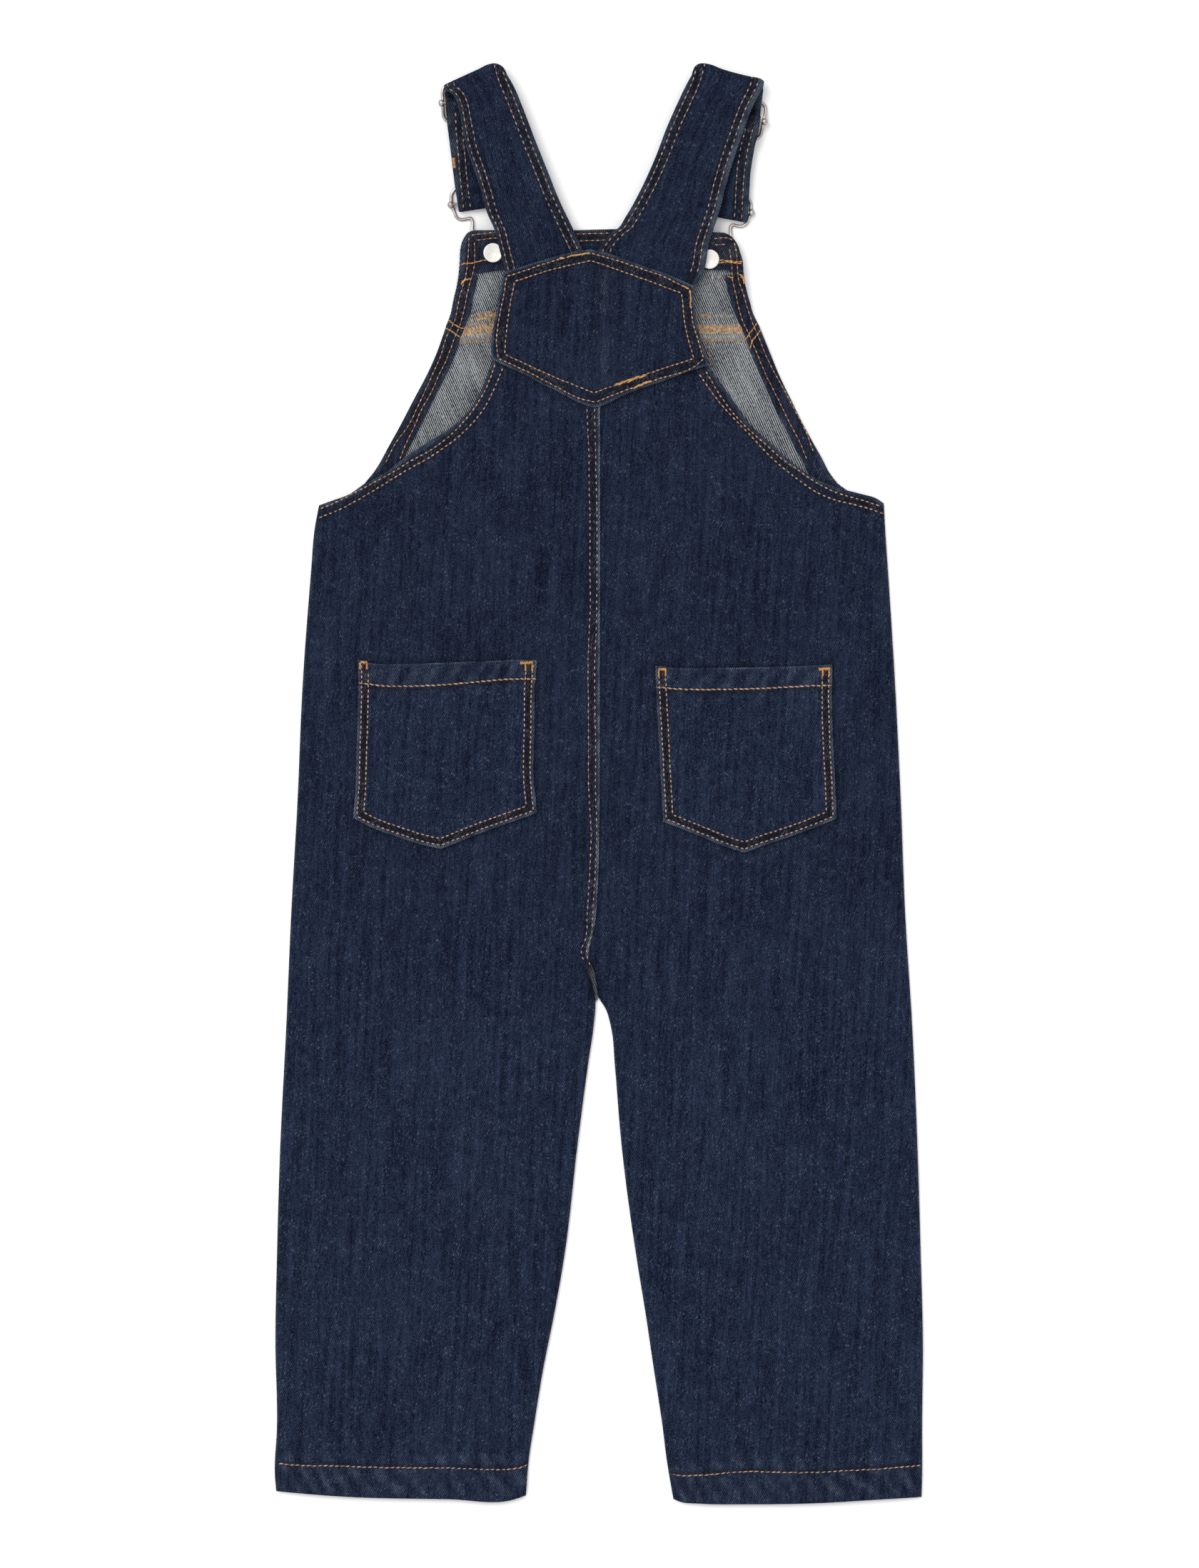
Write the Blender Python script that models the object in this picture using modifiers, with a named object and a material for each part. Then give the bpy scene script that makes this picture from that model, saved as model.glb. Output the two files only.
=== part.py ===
"""Child's denim dungarees laid flat with the back up, built as they are sewn.

The origin is on the surface that the garment lies on, under its middle. +X is to the right of a viewer who
looks down at it, +Y runs from the hems to the straps and +Z is up. Plan measures below are in millimetres:
"across" is measured from the middle (negative on the left) and "up" from the lowest point of the hems.
"""
import math

import bmesh
import bpy
import numpy as np
from mathutils import Matrix

MM = 0.001

# Driving dimensions, millimetres
MIDDLE_ACROSS, MIDDLE_UP = -0.3, 372.8    # the origin is under this place in plan
CLOTH = 1.1               # one layer of denim with its turnings pressed flat
TRIM_CLOTH = 1.0          # facing and turned side hems
STRAP_CLOTH = 1.5         # a strap is turned double
GAP = 0.3                 # between pieces that lie on or beside each other
WIRE = 1.6                # diameter of the slides' and hooks' wire
LOFT = 3.0                # how far the back stands off the front
LOFT_REACH = 25.0         # from a side fold to full loft
HEM_LOFT_SHARE = 0.5      # share of the loft left at the leg openings
HEM_LOFT_REACH = 50.0
HEM_BOW_REACH = 60.0      # how far up a leg the hem's own curve is felt
FRONT_INSET = 0.4         # the front's edges lie this far inside the back's
FRONT_CENTRE = 0.2        # across of the seam between the front halves
BIB_SEAM_UP = 610.0
FACING_LOW_UP = 637.0
SIDE_HEM_WIDTH = 10.0
SIDE_HEM_END_UP = 524.0   # where a side hem has gone under the back
YOKE_SEAM_UP = 622.0      # under the yoke, where backs and strap ends meet
CROTCH_UP = 262.8
CROTCH_ACROSS = -1.5

# Buttons: a cap in front, a neck through bib and facing, a tack disc behind
CAP_RADIUS, CAP_THICK = 8.5, 1.8
CAP_ROUNDING = ((0.8, 0.0), (0.2, 0.3), (0.0, 0.9), (0.2, 1.5), (0.8, CAP_THICK))   # (in from the rim, up)
NECK_RADIUS, NECK_HOLE_RADIUS, NECK_CUT_DEPTH = 2.0, 2.3, 30.0
DISC_CLEARANCE = 0.2
DISC_RADIUS, DISC_THICK, DISC_EDGE = 5.0, 0.9, 0.3
BIB_RISE = CAP_THICK + WIRE + 0.7     # the bib over cap and hook wire
DECK_RISE = 3.8                       # the yoke and straps over the discs
YOKE_CLEARANCE = 0.2                  # more room under the yoke, where the cloth below curves over a disc
YOKE_STEP_BELOW, YOKE_STEP_REACH = 14.0, 12.0   # where the yoke climbs from the backs to the thicker straps
BUTTON_FLAT, BUTTON_REACH = 12.0, 42.0

# Strap layers: heights of the middle of the cloth
BAR_WRAP = WIRE / 2 + GAP + STRAP_CLOTH / 2
LAYER = STRAP_CLOTH + GAP
MAIN_LOW = STRAP_CLOTH / 2
MAIN_OVER_WIRE = WIRE + GAP + STRAP_CLOTH / 2
BACK_MIDDLE = MAIN_OVER_WIRE + 3 * LAYER
FOLD_RADIUS = (BACK_MIDDLE - MAIN_OVER_WIRE) / 2
WIRE_BUMP_FLAT, WIRE_BUMP_REACH = 1.2, 6.6
STRAP_LIFT_UP, STRAP_LIFT_REACH = 652.0, 14.0   # above the yoke the strap climbs to the fold's level
FOLD_START = 0.93                               # share of the back portion where the fold begins to bend it
END_STEP_BEFORE, END_STEP_REACH = 5.0, 4.0      # the return layer steps down past the strap's end
SLIDE_STEP_BEFORE, SLIDE_STEP_REACH = 1.0, 1.0  # and up to the slide's bar
FOLD_TO_SLIDE_STEP = 2.2                        # distance between sections there
TURN_STEPS = 8                                  # sections in half a turn

# Slides and hooks, in their own plan frames (inward, up)
SLIDE_HALF_WIDTH, SLIDE_HALF_HEIGHT, SLIDE_CORNER = 18.3, 9.4, 3.4
SLIDE_ARCH = 2.2
BALL_RADIUS = 1.85
SLIDE_BALL = 18.9
HOOK_BAR_UP, HOOK_TOP_UP, HOOK_BALL = 27.6, 36.6, 18.8
SLIDE_ARCH_AT = (3.4, 1.4)                      # heights on the slide's sides where the arch bends
HOOK_SLOPE_TOP, HOOK_SLOPE_LOW, HOOK_SLOT_HEIGHT = 19.0, 6.0, 2.9
HOOK_BALL_HEIGHT, HOOK_BAR_LIFT, HOOK_BAR_REACH, HOOK_BAR_SLOPE = 1.95, 0.4, 4.0, 3.0
HOOK_HALF = ((0.0, 36.6), (8.0, 36.6), (14.6, 36.5), (17.2, 35.2), (18.7, 32.6), (19.0, 29.8), (18.8, 27.6),
             (18.2, 25.0), (17.3, 22.6), (15.9, 20.2), (13.2, 19.1), (10.2, 19.0), (9.2, 17.6), (9.2, 13.1),
             (9.4, 9.0), (8.3, 6.4), (4.9, 4.7), (3.6, 2.8), (3.6, -1.6), (2.6, -4.2))
HOOK_TIP = (0.0, -5.2)

# Edges: rows of (across, up)
LEFT_SIDE = ((-167.6, 6.7), (-168.3, 15.9), (-167.2, 39.6), (-168.0, 84.0), (-167.2, 128.4), (-165.4, 187.6),
             (-162.4, 246.8), (-159.8, 306.0), (-156.5, 365.2), (-153.9, 424.4), (-149.5, 483.6),
             (-147.6, 505.8), (-145.4, 517.6))
RIGHT_SIDE = ((166.9, 3.7), (167.2, 15.9), (167.2, 39.6), (167.6, 84.0), (166.5, 128.4), (164.7, 187.6),
              (162.1, 246.8), (158.4, 306.0), (156.1, 365.2), (153.2, 424.4), (149.5, 483.6),
              (148.0, 505.8), (147.3, 518.7))
LEFT_INSEAM = ((-38.0, 4.5), (-36.3, 24.8), (-34.0, 39.6), (-29.2, 69.2), (-23.3, 98.8), (-18.1, 128.4),
               (-11.1, 187.6), (-5.2, 232.0), (-3.0, 246.8), (-2.2, 262.8), (-3.9, 270.5), (-6.3, 277.9))
RIGHT_INSEAM = ((38.1, 2.6), (34.4, 24.8), (32.6, 39.6), (28.1, 69.2), (23.7, 98.8), (18.9, 128.4),
                (11.1, 187.6), (7.8, 227.2), (5.9, 246.8), (3.0, 256.8), (-0.7, 262.8), (-1.8, 270.5),
                (-3.4, 277.9))
CENTRE_SEAM = ((-4.4, 281.0), (-5.5, 284.5), (-4.4, 291.2), (-2.6, 298.6), (-0.7, 320.8), (0.0, 350.4),
               (0.2, 409.6), (0.4, 483.6), (0.4, 568.3), (0.4, 622.0))
LEFT_ARMHOLE = ((-145.4, 517.6), (-138.0, 520.2), (-130.6, 522.8), (-119.5, 529.5), (-109.9, 535.4),
                (-99.2, 543.5), (-88.1, 550.6), (-76.2, 558.3), (-65.5, 569.1), (-59.2, 581.6),
                (-55.3, 592.7), (-51.5, 605.0), (-48.0, 622.0))
RIGHT_ARMHOLE = ((147.3, 518.7), (143.2, 521.3), (135.4, 523.5), (124.0, 526.5), (112.5, 531.0),
                 (101.4, 538.4), (89.9, 548.7), (77.7, 559.8), (71.8, 568.0), (62.2, 581.6),
                 (56.0, 590.1), (50.5, 602.0), (46.5, 622.0))
LEFT_HEM = ((-168.3, 7.2), (-135.0, 4.1), (-77.3, 2.6), (-45.0, 2.0), (-37.7, 5.0))
RIGHT_HEM = ((38.1, 2.6), (42.2, 1.1), (52.0, 0.3), (76.6, 0.0), (116.2, 0.7), (141.0, 2.2), (166.9, 3.7))
LEFT_FRONT_EDGE = ((-145.0, 516.9), (-136.9, 519.9), (-129.5, 523.5), (-123.2, 528.0), (-116.9, 535.4),
                   (-108.4, 550.2), (-96.6, 572.4), (-85.5, 594.6), (-79.9, 610.0))
RIGHT_FRONT_EDGE = ((146.9, 518.2), (138.8, 520.6), (129.5, 524.3), (121.4, 531.7), (115.1, 542.8),
                    (106.9, 557.6), (99.5, 572.4), (89.5, 594.6), (83.2, 610.0))
LEFT_BIB_EDGE = ((-79.9, 610.0), (-75.8, 624.2), (-72.9, 639.0), (-72.2, 650.1), (-71.4, 654.0),
                 (-70.0, 657.0), (-68.2, 659.2), (-65.5, 660.5))
RIGHT_BIB_EDGE = ((83.2, 610.0), (77.7, 624.2), (74.7, 639.0), (74.2, 645.5), (72.9, 650.1), (71.6, 654.0),
                  (69.8, 657.0), (67.6, 659.2), (64.5, 660.5))
BIB_TOP = ((-70.0, 660.1), (-13.7, 660.3), (11.1, 660.9), (70.0, 658.6))

# Outlines with four sides each: bottom, top, left and right; a corner inside a side starts a new run
YOKE = dict(
    bottom=(((-55.9, 593.1), (-33.3, 582.8), (-14.8, 574.2), (-2.6, 568.3)),
            ((-2.6, 568.3), (11.1, 573.1), (33.3, 581.6), (56.6, 590.1))),
    top=(((-49.6, 637.9), (-29.6, 644.2), (-9.2, 649.5), (-4.4, 649.9)),
         ((-4.4, 649.9), (14.8, 644.5), (33.3, 637.9), (48.8, 630.9))),
    left=(((-55.9, 593.1), (-56.2, 598.3), (-53.6, 616.8), (-49.6, 637.9)),),
    right=(((56.6, 590.1), (51.8, 605.7), (49.6, 616.8), (48.8, 630.9)),),
)
LEFT_POCKET = dict(
    bottom=(((-127.6, 355.6), (-105.1, 345.9), (-90.7, 341.4), (-82.1, 339.6)),
            ((-82.1, 339.6), (-62.5, 347.4), (-48.1, 352.6), (-32.2, 358.2))),
    top=(((-125.1, 437.7), (-119.1, 435.9), (-105.1, 435.3), (-80.0, 436.0)),
         ((-80.0, 436.0), (-62.5, 436.6), (-41.1, 437.5), (-32.2, 437.3))),
    left=(((-127.6, 355.6), (-126.5, 368.9), (-125.1, 411.1), (-125.1, 437.7)),),
    right=(((-32.2, 358.2), (-34.0, 375.9), (-33.7, 404.0), (-32.2, 437.3)),),
)
RIGHT_POCKET = dict(
    bottom=(((32.9, 353.7), (51.4, 346.3), (66.2, 340.4), (75.1, 337.6)),
            ((75.1, 337.6), (95.5, 344.8), (109.9, 350.0), (122.8, 355.2))),
    top=(((28.9, 434.5), (40.3, 433.3), (58.8, 433.3), (75.0, 433.5)),
         ((75.0, 433.5), (102.5, 434.2), (114.0, 434.9), (120.6, 435.1))),
    left=(((32.9, 353.7), (31.8, 373.3), (29.6, 413.0), (28.9, 434.5)),),
    right=(((122.8, 355.2), (122.1, 373.3), (120.5, 413.0), (120.6, 435.1)),),
)

# Straps with their hardware; "out" is -1 on the left and 1 on the right
LEFT_STRAP = dict(
    out=-1,
    back_outer=((-46.0, 622.3), (-48.5, 639.7), (-51.4, 650.8), (-54.0, 660.8), (-58.1, 668.6),
                (-61.0, 679.0), (-64.8, 690.8), (-68.5, 701.1), (-71.4, 716.0), (-74.2, 726.0),
                (-79.4, 732.0)),
    back_inner=((-1.4, 622.3), (-2.5, 636.0), (-8.5, 649.4), (-13.7, 660.5), (-21.1, 676.0), (-27.0, 690.8),
                (-33.3, 705.6), (-38.9, 720.4), (-43.7, 733.7), (-47.8, 739.6)),
    fold=((-80.7, 735.4), (-70.5, 740.0), (-58.5, 745.6), (-49.6, 743.2)),
    front_outer=((-80.6, 738.0), (-80.0, 728.0), (-78.8, 714.5), (-77.0, 700.0), (-74.7, 681.5),
                 (-72.9, 670.1)),
    front_inner=((-48.5, 742.0), (-47.8, 728.0), (-46.6, 714.0), (-45.0, 700.0), (-43.0, 681.5),
                 (-42.0, 670.1)),
    slide=(-62.9, 726.6), slide_tilt=2.0, button=(-55.1, 648.2), hook=(-55.1, 648.2), hook_tilt=7.0,
)
RIGHT_STRAP = dict(
    out=1,
    back_outer=((44.5, 622.3), (48.4, 634.0), (54.8, 642.0), (56.6, 651.9), (59.6, 658.6), (61.8, 668.6),
                (66.6, 687.1), (73.3, 707.4), (79.5, 724.1), (83.0, 731.0), (84.2, 733.8)),
    back_inner=((1.4, 622.3), (1.2, 640.0), (3.0, 654.2), (11.1, 661.2), (14.4, 668.6), (22.6, 683.4),
                (29.2, 698.2), (34.8, 713.0), (41.4, 727.8), (47.2, 739.6)),
    fold=((85.1, 737.2), (72.5, 741.2), (58.0, 745.8), (49.0, 743.2)),
    front_outer=((85.4, 738.0), (84.0, 725.9), (82.1, 713.0), (80.7, 705.6), (78.1, 687.1), (77.0, 668.6)),
    front_inner=((50.0, 742.0), (51.8, 728.0), (51.4, 716.0), (49.6, 705.6), (46.8, 687.1), (45.6, 668.6)),
    slide=(67.0, 719.9), slide_tilt=11.0, button=(57.0, 644.9), hook=(57.4, 643.6), hook_tilt=5.7,
)
STRAP_END_DROP = 31.0     # from a slide's bar to the end of the cloth that is sewn back on itself
STRAP_END_SHARE = 0.58    # the same as a share of the way from the slide's bar to the hook's crossbar
BACK_STATIONS = (*np.linspace(0, 0.32, 9), *np.linspace(0.40, 0.93, 7), 0.965)
FRONT_STATIONS = (0.0, 0.05, 0.10, 0.14, 0.18, 0.22, 0.26, 0.32, 0.42, 0.54, 0.62, 0.70, 0.76, 0.80, 0.84,
                  0.88, 0.92, 0.96, 1.0)

DENIM = (0.025, 0.045, 0.110)
DENIM_WRONG_SIDE = (0.42, 0.47, 0.52)
SILVER = (0.78, 0.77, 0.75)


# ---- curves and surfaces in plan -----------------------------------------------------------------

def smooth_line(points, steps=10):
    """A cubic line through the points, as an array of closely spaced (across, up)."""
    p = np.array(points, float)
    t = np.concatenate(([0.0], np.cumsum(np.hypot(*np.diff(p, axis=0).T))))
    slope = np.gradient(p, t, axis=0, edge_order=1)
    out = [p[0]]
    for i in range(len(p) - 1):
        span = t[i + 1] - t[i]
        for s in np.linspace(0, 1, steps + 1)[1:]:
            h00, h10 = (1 + 2 * s) * (1 - s) ** 2, s * (1 - s) ** 2
            h01, h11 = s * s * (3 - 2 * s), s * s * (s - 1)
            out.append(h00 * p[i] + h10 * span * slope[i] + h01 * p[i + 1] + h11 * span * slope[i + 1])
    return np.array(out)


def by_up(points):
    """Across as a function of up, for an edge that climbs all the way."""
    line = smooth_line(points)
    return lambda up: float(np.interp(up, line[:, 1], line[:, 0]))


def by_across(points):
    line = smooth_line(points)
    return lambda across: float(np.interp(across, line[:, 0], line[:, 1]))


def by_length(points):
    """A point (across, up) at a share of the line's length."""
    line = smooth_line(points)
    reach = np.concatenate(([0.0], np.cumsum(np.hypot(*np.diff(line, axis=0).T))))
    reach /= reach[-1]
    return lambda t: np.array([np.interp(t, reach, line[:, 0]), np.interp(t, reach, line[:, 1])])


def side_of_runs(runs):
    """One side of an outline; each of its runs takes an equal share, so corners fall on grid lines."""
    lines = [by_length(run) for run in runs]

    def point(t):
        i = min(int(t * len(lines)), len(lines) - 1)
        return lines[i](t * len(lines) - i)
    return point


def four_sided(outline):
    """Plan point at (u, v) inside four sides: a Coons patch."""
    bottom, top, left, right = (side_of_runs(outline[k]) for k in ("bottom", "top", "left", "right"))
    c00, c10, c01, c11 = bottom(0), bottom(1), top(0), top(1)

    def point(u, v):
        ruled = (1 - v) * bottom(u) + v * top(u) + (1 - u) * left(v) + u * right(v)
        return ruled - ((1 - u) * (1 - v) * c00 + u * (1 - v) * c10 + (1 - u) * v * c01 + u * v * c11)
    return point


def rise(t):
    """Smooth step from 0 to 1."""
    t = min(max(t, 0.0), 1.0)
    return t * t * (3 - 2 * t)


def ease(t):
    """Quick start, soft finish: the section of a cloth edge that rolls over."""
    t = min(max(t, 0.0), 1.0)
    return 1 - (1 - t) ** 2


left_side, right_side = by_up(LEFT_SIDE), by_up(RIGHT_SIDE)
left_inseam, right_inseam = by_up(LEFT_INSEAM), by_up(RIGHT_INSEAM)


# ---- heights -------------------------------------------------------------------------------------

def button_rise(across, up):
    """1 over both buttons, falling to 0 around them."""
    total = 0.0
    for strap in (LEFT_STRAP, RIGHT_STRAP):
        away = math.hypot(across - strap["button"][0], up - strap["button"][1])
        total += rise((BUTTON_REACH - away) / (BUTTON_REACH - BUTTON_FLAT))
    return min(total, 1.0)


def floor_height(across, up):
    """Underside of the front and bib."""
    return BIB_RISE * button_rise(across, up)


def deck_height(across, up):
    """Underside of the back and of the strap ends beside it."""
    side, inseam = (left_side, left_inseam) if across < CROTCH_ACROSS else (right_side, right_inseam)
    from_side = abs(across - side(up))
    if up < CROTCH_UP:
        from_inseam = abs(across - inseam(up))
    else:
        from_inseam = math.hypot(across - CROTCH_ACROSS, up - CROTCH_UP)
    loft = LOFT * ease(from_side / LOFT_REACH) * ease(from_inseam / LOFT_REACH)
    loft *= HEM_LOFT_SHARE + (1 - HEM_LOFT_SHARE) * rise(up / HEM_LOFT_REACH)
    return CLOTH + GAP + loft + DECK_RISE * button_rise(across, up)


def over_deck(across, up):
    """Underside of what is sewn on the back."""
    return deck_height(across, up) + CLOTH + GAP


# ---- objects -------------------------------------------------------------------------------------

def start():
    for thing in list(bpy.data.objects):
        bpy.data.objects.remove(thing)
    for name in ("dungarees", "cutters"):
        if name not in bpy.data.collections:
            bpy.context.scene.collection.children.link(bpy.data.collections.new(name))


def material(name, colour, roughness, metallic=0.0):
    made = bpy.data.materials.get(name) or bpy.data.materials.new(name)
    made.use_nodes = True
    shader = made.node_tree.nodes["Principled BSDF"]
    shader.inputs["Base Color"].default_value = (*colour, 1.0)
    shader.inputs["Roughness"].default_value = roughness
    shader.inputs["Metallic"].default_value = metallic
    return made


def add_object(name, data, collection="dungarees"):
    thing = bpy.data.objects.new(name, data)
    bpy.data.collections[collection].objects.link(thing)
    return thing


def place_mm(across, up, height):
    """Garment measures to world metres."""
    return (across - MIDDLE_ACROSS) * MM, (up - MIDDLE_UP) * MM, height * MM


def cloth(name, columns, rows, surface, thickness, colour, offset=1.0):
    """A grid laid by surface(u, v) -> (across, up, height), given its thickness by Solidify."""
    bm = bmesh.new()
    bmesh.ops.create_grid(bm, x_segments=columns, y_segments=rows, size=1.0)
    for v in bm.verts:
        v.co = place_mm(*surface((v.co.x + 1) / 2, (v.co.y + 1) / 2))
    bm.normal_update()
    mesh = bpy.data.meshes.new(name)
    bm.to_mesh(mesh)
    bm.free()
    thing = add_object(name, mesh)
    thing.data.materials.append(material(name, colour, 0.85))
    wall = thing.modifiers.new("wall", "SOLIDIFY")
    wall.thickness = thickness * MM
    wall.offset = offset
    wall.use_even_offset = True
    return thing


def rows_between(low, high, stops):
    """Heights of the grid's rows as a function of v, with a row at each stop."""
    heights = [low, *[s for s in stops if low < s < high], high]
    return len(heights) - 1, lambda v: float(np.interp(v * (len(heights) - 1), range(len(heights)), heights))


LEG_STOPS = (14, 28, 44, 64, 90, 120, 150, 180, 210, 232, 247, 257, 262.8, 270.5, 278, 281, 284.5, 291, 300,
             320, 345, 370, 400, 430, 460, 484, 500, 510)
LEFT_ARM_STOPS = (517.6, 520.2, 522.8, 529.5, 535.4, 543.5, 550.6, 558.3, 569.1, 581.6, 592.7, 600, 607, 614)
RIGHT_ARM_STOPS = (518.7, 521.3, 523.5, 526.5, 531, 538.4, 548.7, 559.8, 568, 581.6, 590.1, 599, 607, 614)
FRONT_STOPS = (*[stop for stop in LEG_STOPS if not CROTCH_UP < stop < 320],
               520, 524, 531, 540, 550, 560, 573, 585, 595)

BIB_STOPS = (612, 617, 624, 632, 639, 643, 648, 652, 655, 657.5, 659.3)
BIB_COLUMNS = 16
BACK_COLUMNS = 9
FRONT_COLUMNS = 3


def half_panel(left_edge, right_edge, heights, hem, height_at):
    """A body half with its leg: level rows between two edges, bent to the hem's curve low down."""
    hem_low = min(up for _, up in hem)
    hem_line = by_across(hem)

    def surface(u, v):
        up = heights(v)
        across = left_edge(up) + u * (right_edge(up) - left_edge(up))
        up += (hem_line(across) - hem_low) * (1 - rise((up - hem_low) / HEM_BOW_REACH))
        return across, up, height_at(across, up)
    return surface


def outer_edge(side, armhole):
    """Across of a body edge: the side below the armhole, the armhole above."""
    low, high = by_up(side), by_up(armhole)
    return lambda up: low(up) if up < side[-1][1] else high(up)


def inner_edge(inseam, shift):
    """Across of the inner leg below the crotch seam's end, of the centre seam above."""
    low, high = by_up(inseam), by_up(CENTRE_SEAM)
    return lambda up: (low(up) if up <= inseam[-1][1] else high(up)) + shift


def build_backs():
    for name, edges, hem, stops in (
        ("back_left", (outer_edge(LEFT_SIDE, LEFT_ARMHOLE), inner_edge(LEFT_INSEAM, -GAP / 2)),
         LEFT_HEM, LEG_STOPS + LEFT_ARM_STOPS),
        ("back_right", (inner_edge(RIGHT_INSEAM, GAP / 2), outer_edge(RIGHT_SIDE, RIGHT_ARMHOLE)),
         RIGHT_HEM, LEG_STOPS + RIGHT_ARM_STOPS),
    ):
        rows, heights = rows_between(min(up for _, up in hem), YOKE_SEAM_UP - GAP, stops)
        cloth(name, BACK_COLUMNS, rows, half_panel(*edges, heights, hem, deck_height), CLOTH, DENIM)


def build_fronts():
    for name, side, armhole, inseam, hem, inward in (
        ("front_left", LEFT_SIDE, LEFT_FRONT_EDGE, LEFT_INSEAM, LEFT_HEM, 1),
        ("front_right", RIGHT_SIDE, RIGHT_FRONT_EDGE, RIGHT_INSEAM, RIGHT_HEM, -1),
    ):
        outer, leg = outer_edge(side, armhole), by_up(inseam)

        def outer_line(up, outer=outer, inward=inward):
            return outer(up) + inward * FRONT_INSET

        def inner_line(up, leg=leg, inward=inward):
            return (leg(up) if up < CROTCH_UP else FRONT_CENTRE) - inward * FRONT_INSET

        low = min(up for _, up in hem) + FRONT_INSET
        rows, heights = rows_between(low, BIB_SEAM_UP - GAP / 2, FRONT_STOPS)
        lines = (outer_line, inner_line) if inward > 0 else (inner_line, outer_line)
        panel = half_panel(*lines, heights, hem, lambda across, up: 0.0)
        cloth(name, FRONT_COLUMNS, rows, panel, CLOTH, DENIM_WRONG_SIDE)


def bib_point(low, inset):
    """Plan point on the bib above a level, with its edges moved in."""
    left, right, top = by_up(LEFT_BIB_EDGE), by_up(RIGHT_BIB_EDGE), by_across(BIB_TOP)
    high = LEFT_BIB_EDGE[-1][1]
    rows, heights = rows_between(low, high, BIB_STOPS)

    def point(u, v):
        level = heights(v)
        a, b = left(level) + inset, right(level) - inset
        across = a + u * (b - a)
        share = (level - low) / (high - low)
        return across, low + share * (top(across) - inset - low)
    return rows, point


def cut_neck_holes(thing):
    """Round holes for the button necks, cut right through."""
    for strap in (LEFT_STRAP, RIGHT_STRAP):
        bm = bmesh.new()
        bmesh.ops.create_cone(bm, cap_ends=True, segments=16, radius1=NECK_HOLE_RADIUS * MM,
                              radius2=NECK_HOLE_RADIUS * MM, depth=NECK_CUT_DEPTH * MM)
        mesh = bpy.data.meshes.new("neck_cutter")
        bm.to_mesh(mesh)
        bm.free()
        cutter = add_object("neck_cutter", mesh, "cutters")
        cutter.location = place_mm(*strap["button"], 0.0)
        cutter.hide_render = True
        cutter.display_type = "WIRE"
        hole = thing.modifiers.new("neck", "BOOLEAN")
        hole.operation = "DIFFERENCE"
        hole.object = cutter
        hole.solver = "EXACT"


def build_bib():
    rows, point = bib_point(BIB_SEAM_UP + GAP / 2, 0.0)

    def over_floor(u, v):
        across, up = point(u, v)
        return across, up, floor_height(across, up)
    cut_neck_holes(cloth("bib", BIB_COLUMNS, rows, over_floor, CLOTH, DENIM_WRONG_SIDE))
    facing_rows, facing_point = bib_point(FACING_LOW_UP, GAP)

    def on_bib(u, v):
        across, up = facing_point(u, v)
        return across, up, floor_height(across, up) + CLOTH + GAP
    cut_neck_holes(cloth("bib_facing", BIB_COLUMNS, facing_rows, on_bib, TRIM_CLOTH, DENIM))


def build_side_hems():
    """The front's armhole edges, turned in: a strip along each, from the facing to under the back."""
    for name, bib_edge, front_edge, inward in (
        ("front_hem_left", LEFT_BIB_EDGE, LEFT_FRONT_EDGE, 1),
        ("front_hem_right", RIGHT_BIB_EDGE, RIGHT_FRONT_EDGE, -1),
    ):
        bib_line, front_line = by_up(bib_edge), by_up(front_edge)
        low, high = SIDE_HEM_END_UP, FACING_LOW_UP - GAP

        def edge(up, bib_line=bib_line, front_line=front_line):
            return bib_line(up) if up > BIB_SEAM_UP else front_line(up)

        def surface(u, v, edge=edge, inward=inward, low=low, high=high):
            share = u if inward > 0 else 1 - u
            up = low + v * (high - low)
            above, below = min(up + 2, high), max(up - 2, low)
            lean = (edge(above) - edge(below)) / (above - below)
            away = (SIDE_HEM_WIDTH * share + GAP) / math.hypot(1, lean)
            across, up = edge(up) + inward * away, up - inward * lean * away * (1 - v)
            return across, up, floor_height(across, up) + CLOTH + GAP
        cloth(name, 2, 18, surface, TRIM_CLOTH, DENIM)


def build_yoke():
    point = four_sided(YOKE)

    def surface(u, v):
        across, up = point(u, v)
        climb = rise((up - YOKE_SEAM_UP + YOKE_STEP_BELOW) / YOKE_STEP_REACH)
        return across, up, over_deck(across, up) + YOKE_CLEARANCE + (STRAP_CLOTH - CLOTH) * climb
    cloth("back_yoke", 12, 8, surface, CLOTH, DENIM)


def build_pockets():
    for name, outline in (("back_pocket_left", LEFT_POCKET), ("back_pocket_right", RIGHT_POCKET)):
        point = four_sided(outline)
        cloth(name, 6, 6, lambda u, v, point=point: (*point(u, v), over_deck(*point(u, v))), CLOTH, DENIM)


class Frame:
    """Plan frame of a slide or hook: inward and up, leaning outward by its tilt."""

    def __init__(self, origin, out, tilt):
        lean = math.radians(tilt)
        self.origin = np.array(origin, float)
        self.inward = np.array((-out * math.cos(lean), math.sin(lean)))
        self.upward = np.array((out * math.sin(lean), math.cos(lean)))

    def point(self, inward, up):
        return self.origin + inward * self.inward + up * self.upward

    def up_of(self, plan):
        return float((np.array(plan) - self.origin) @ self.upward)


def wire_bump(distance):
    return rise((WIRE_BUMP_REACH - abs(distance)) / (WIRE_BUMP_REACH - WIRE_BUMP_FLAT))


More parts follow.
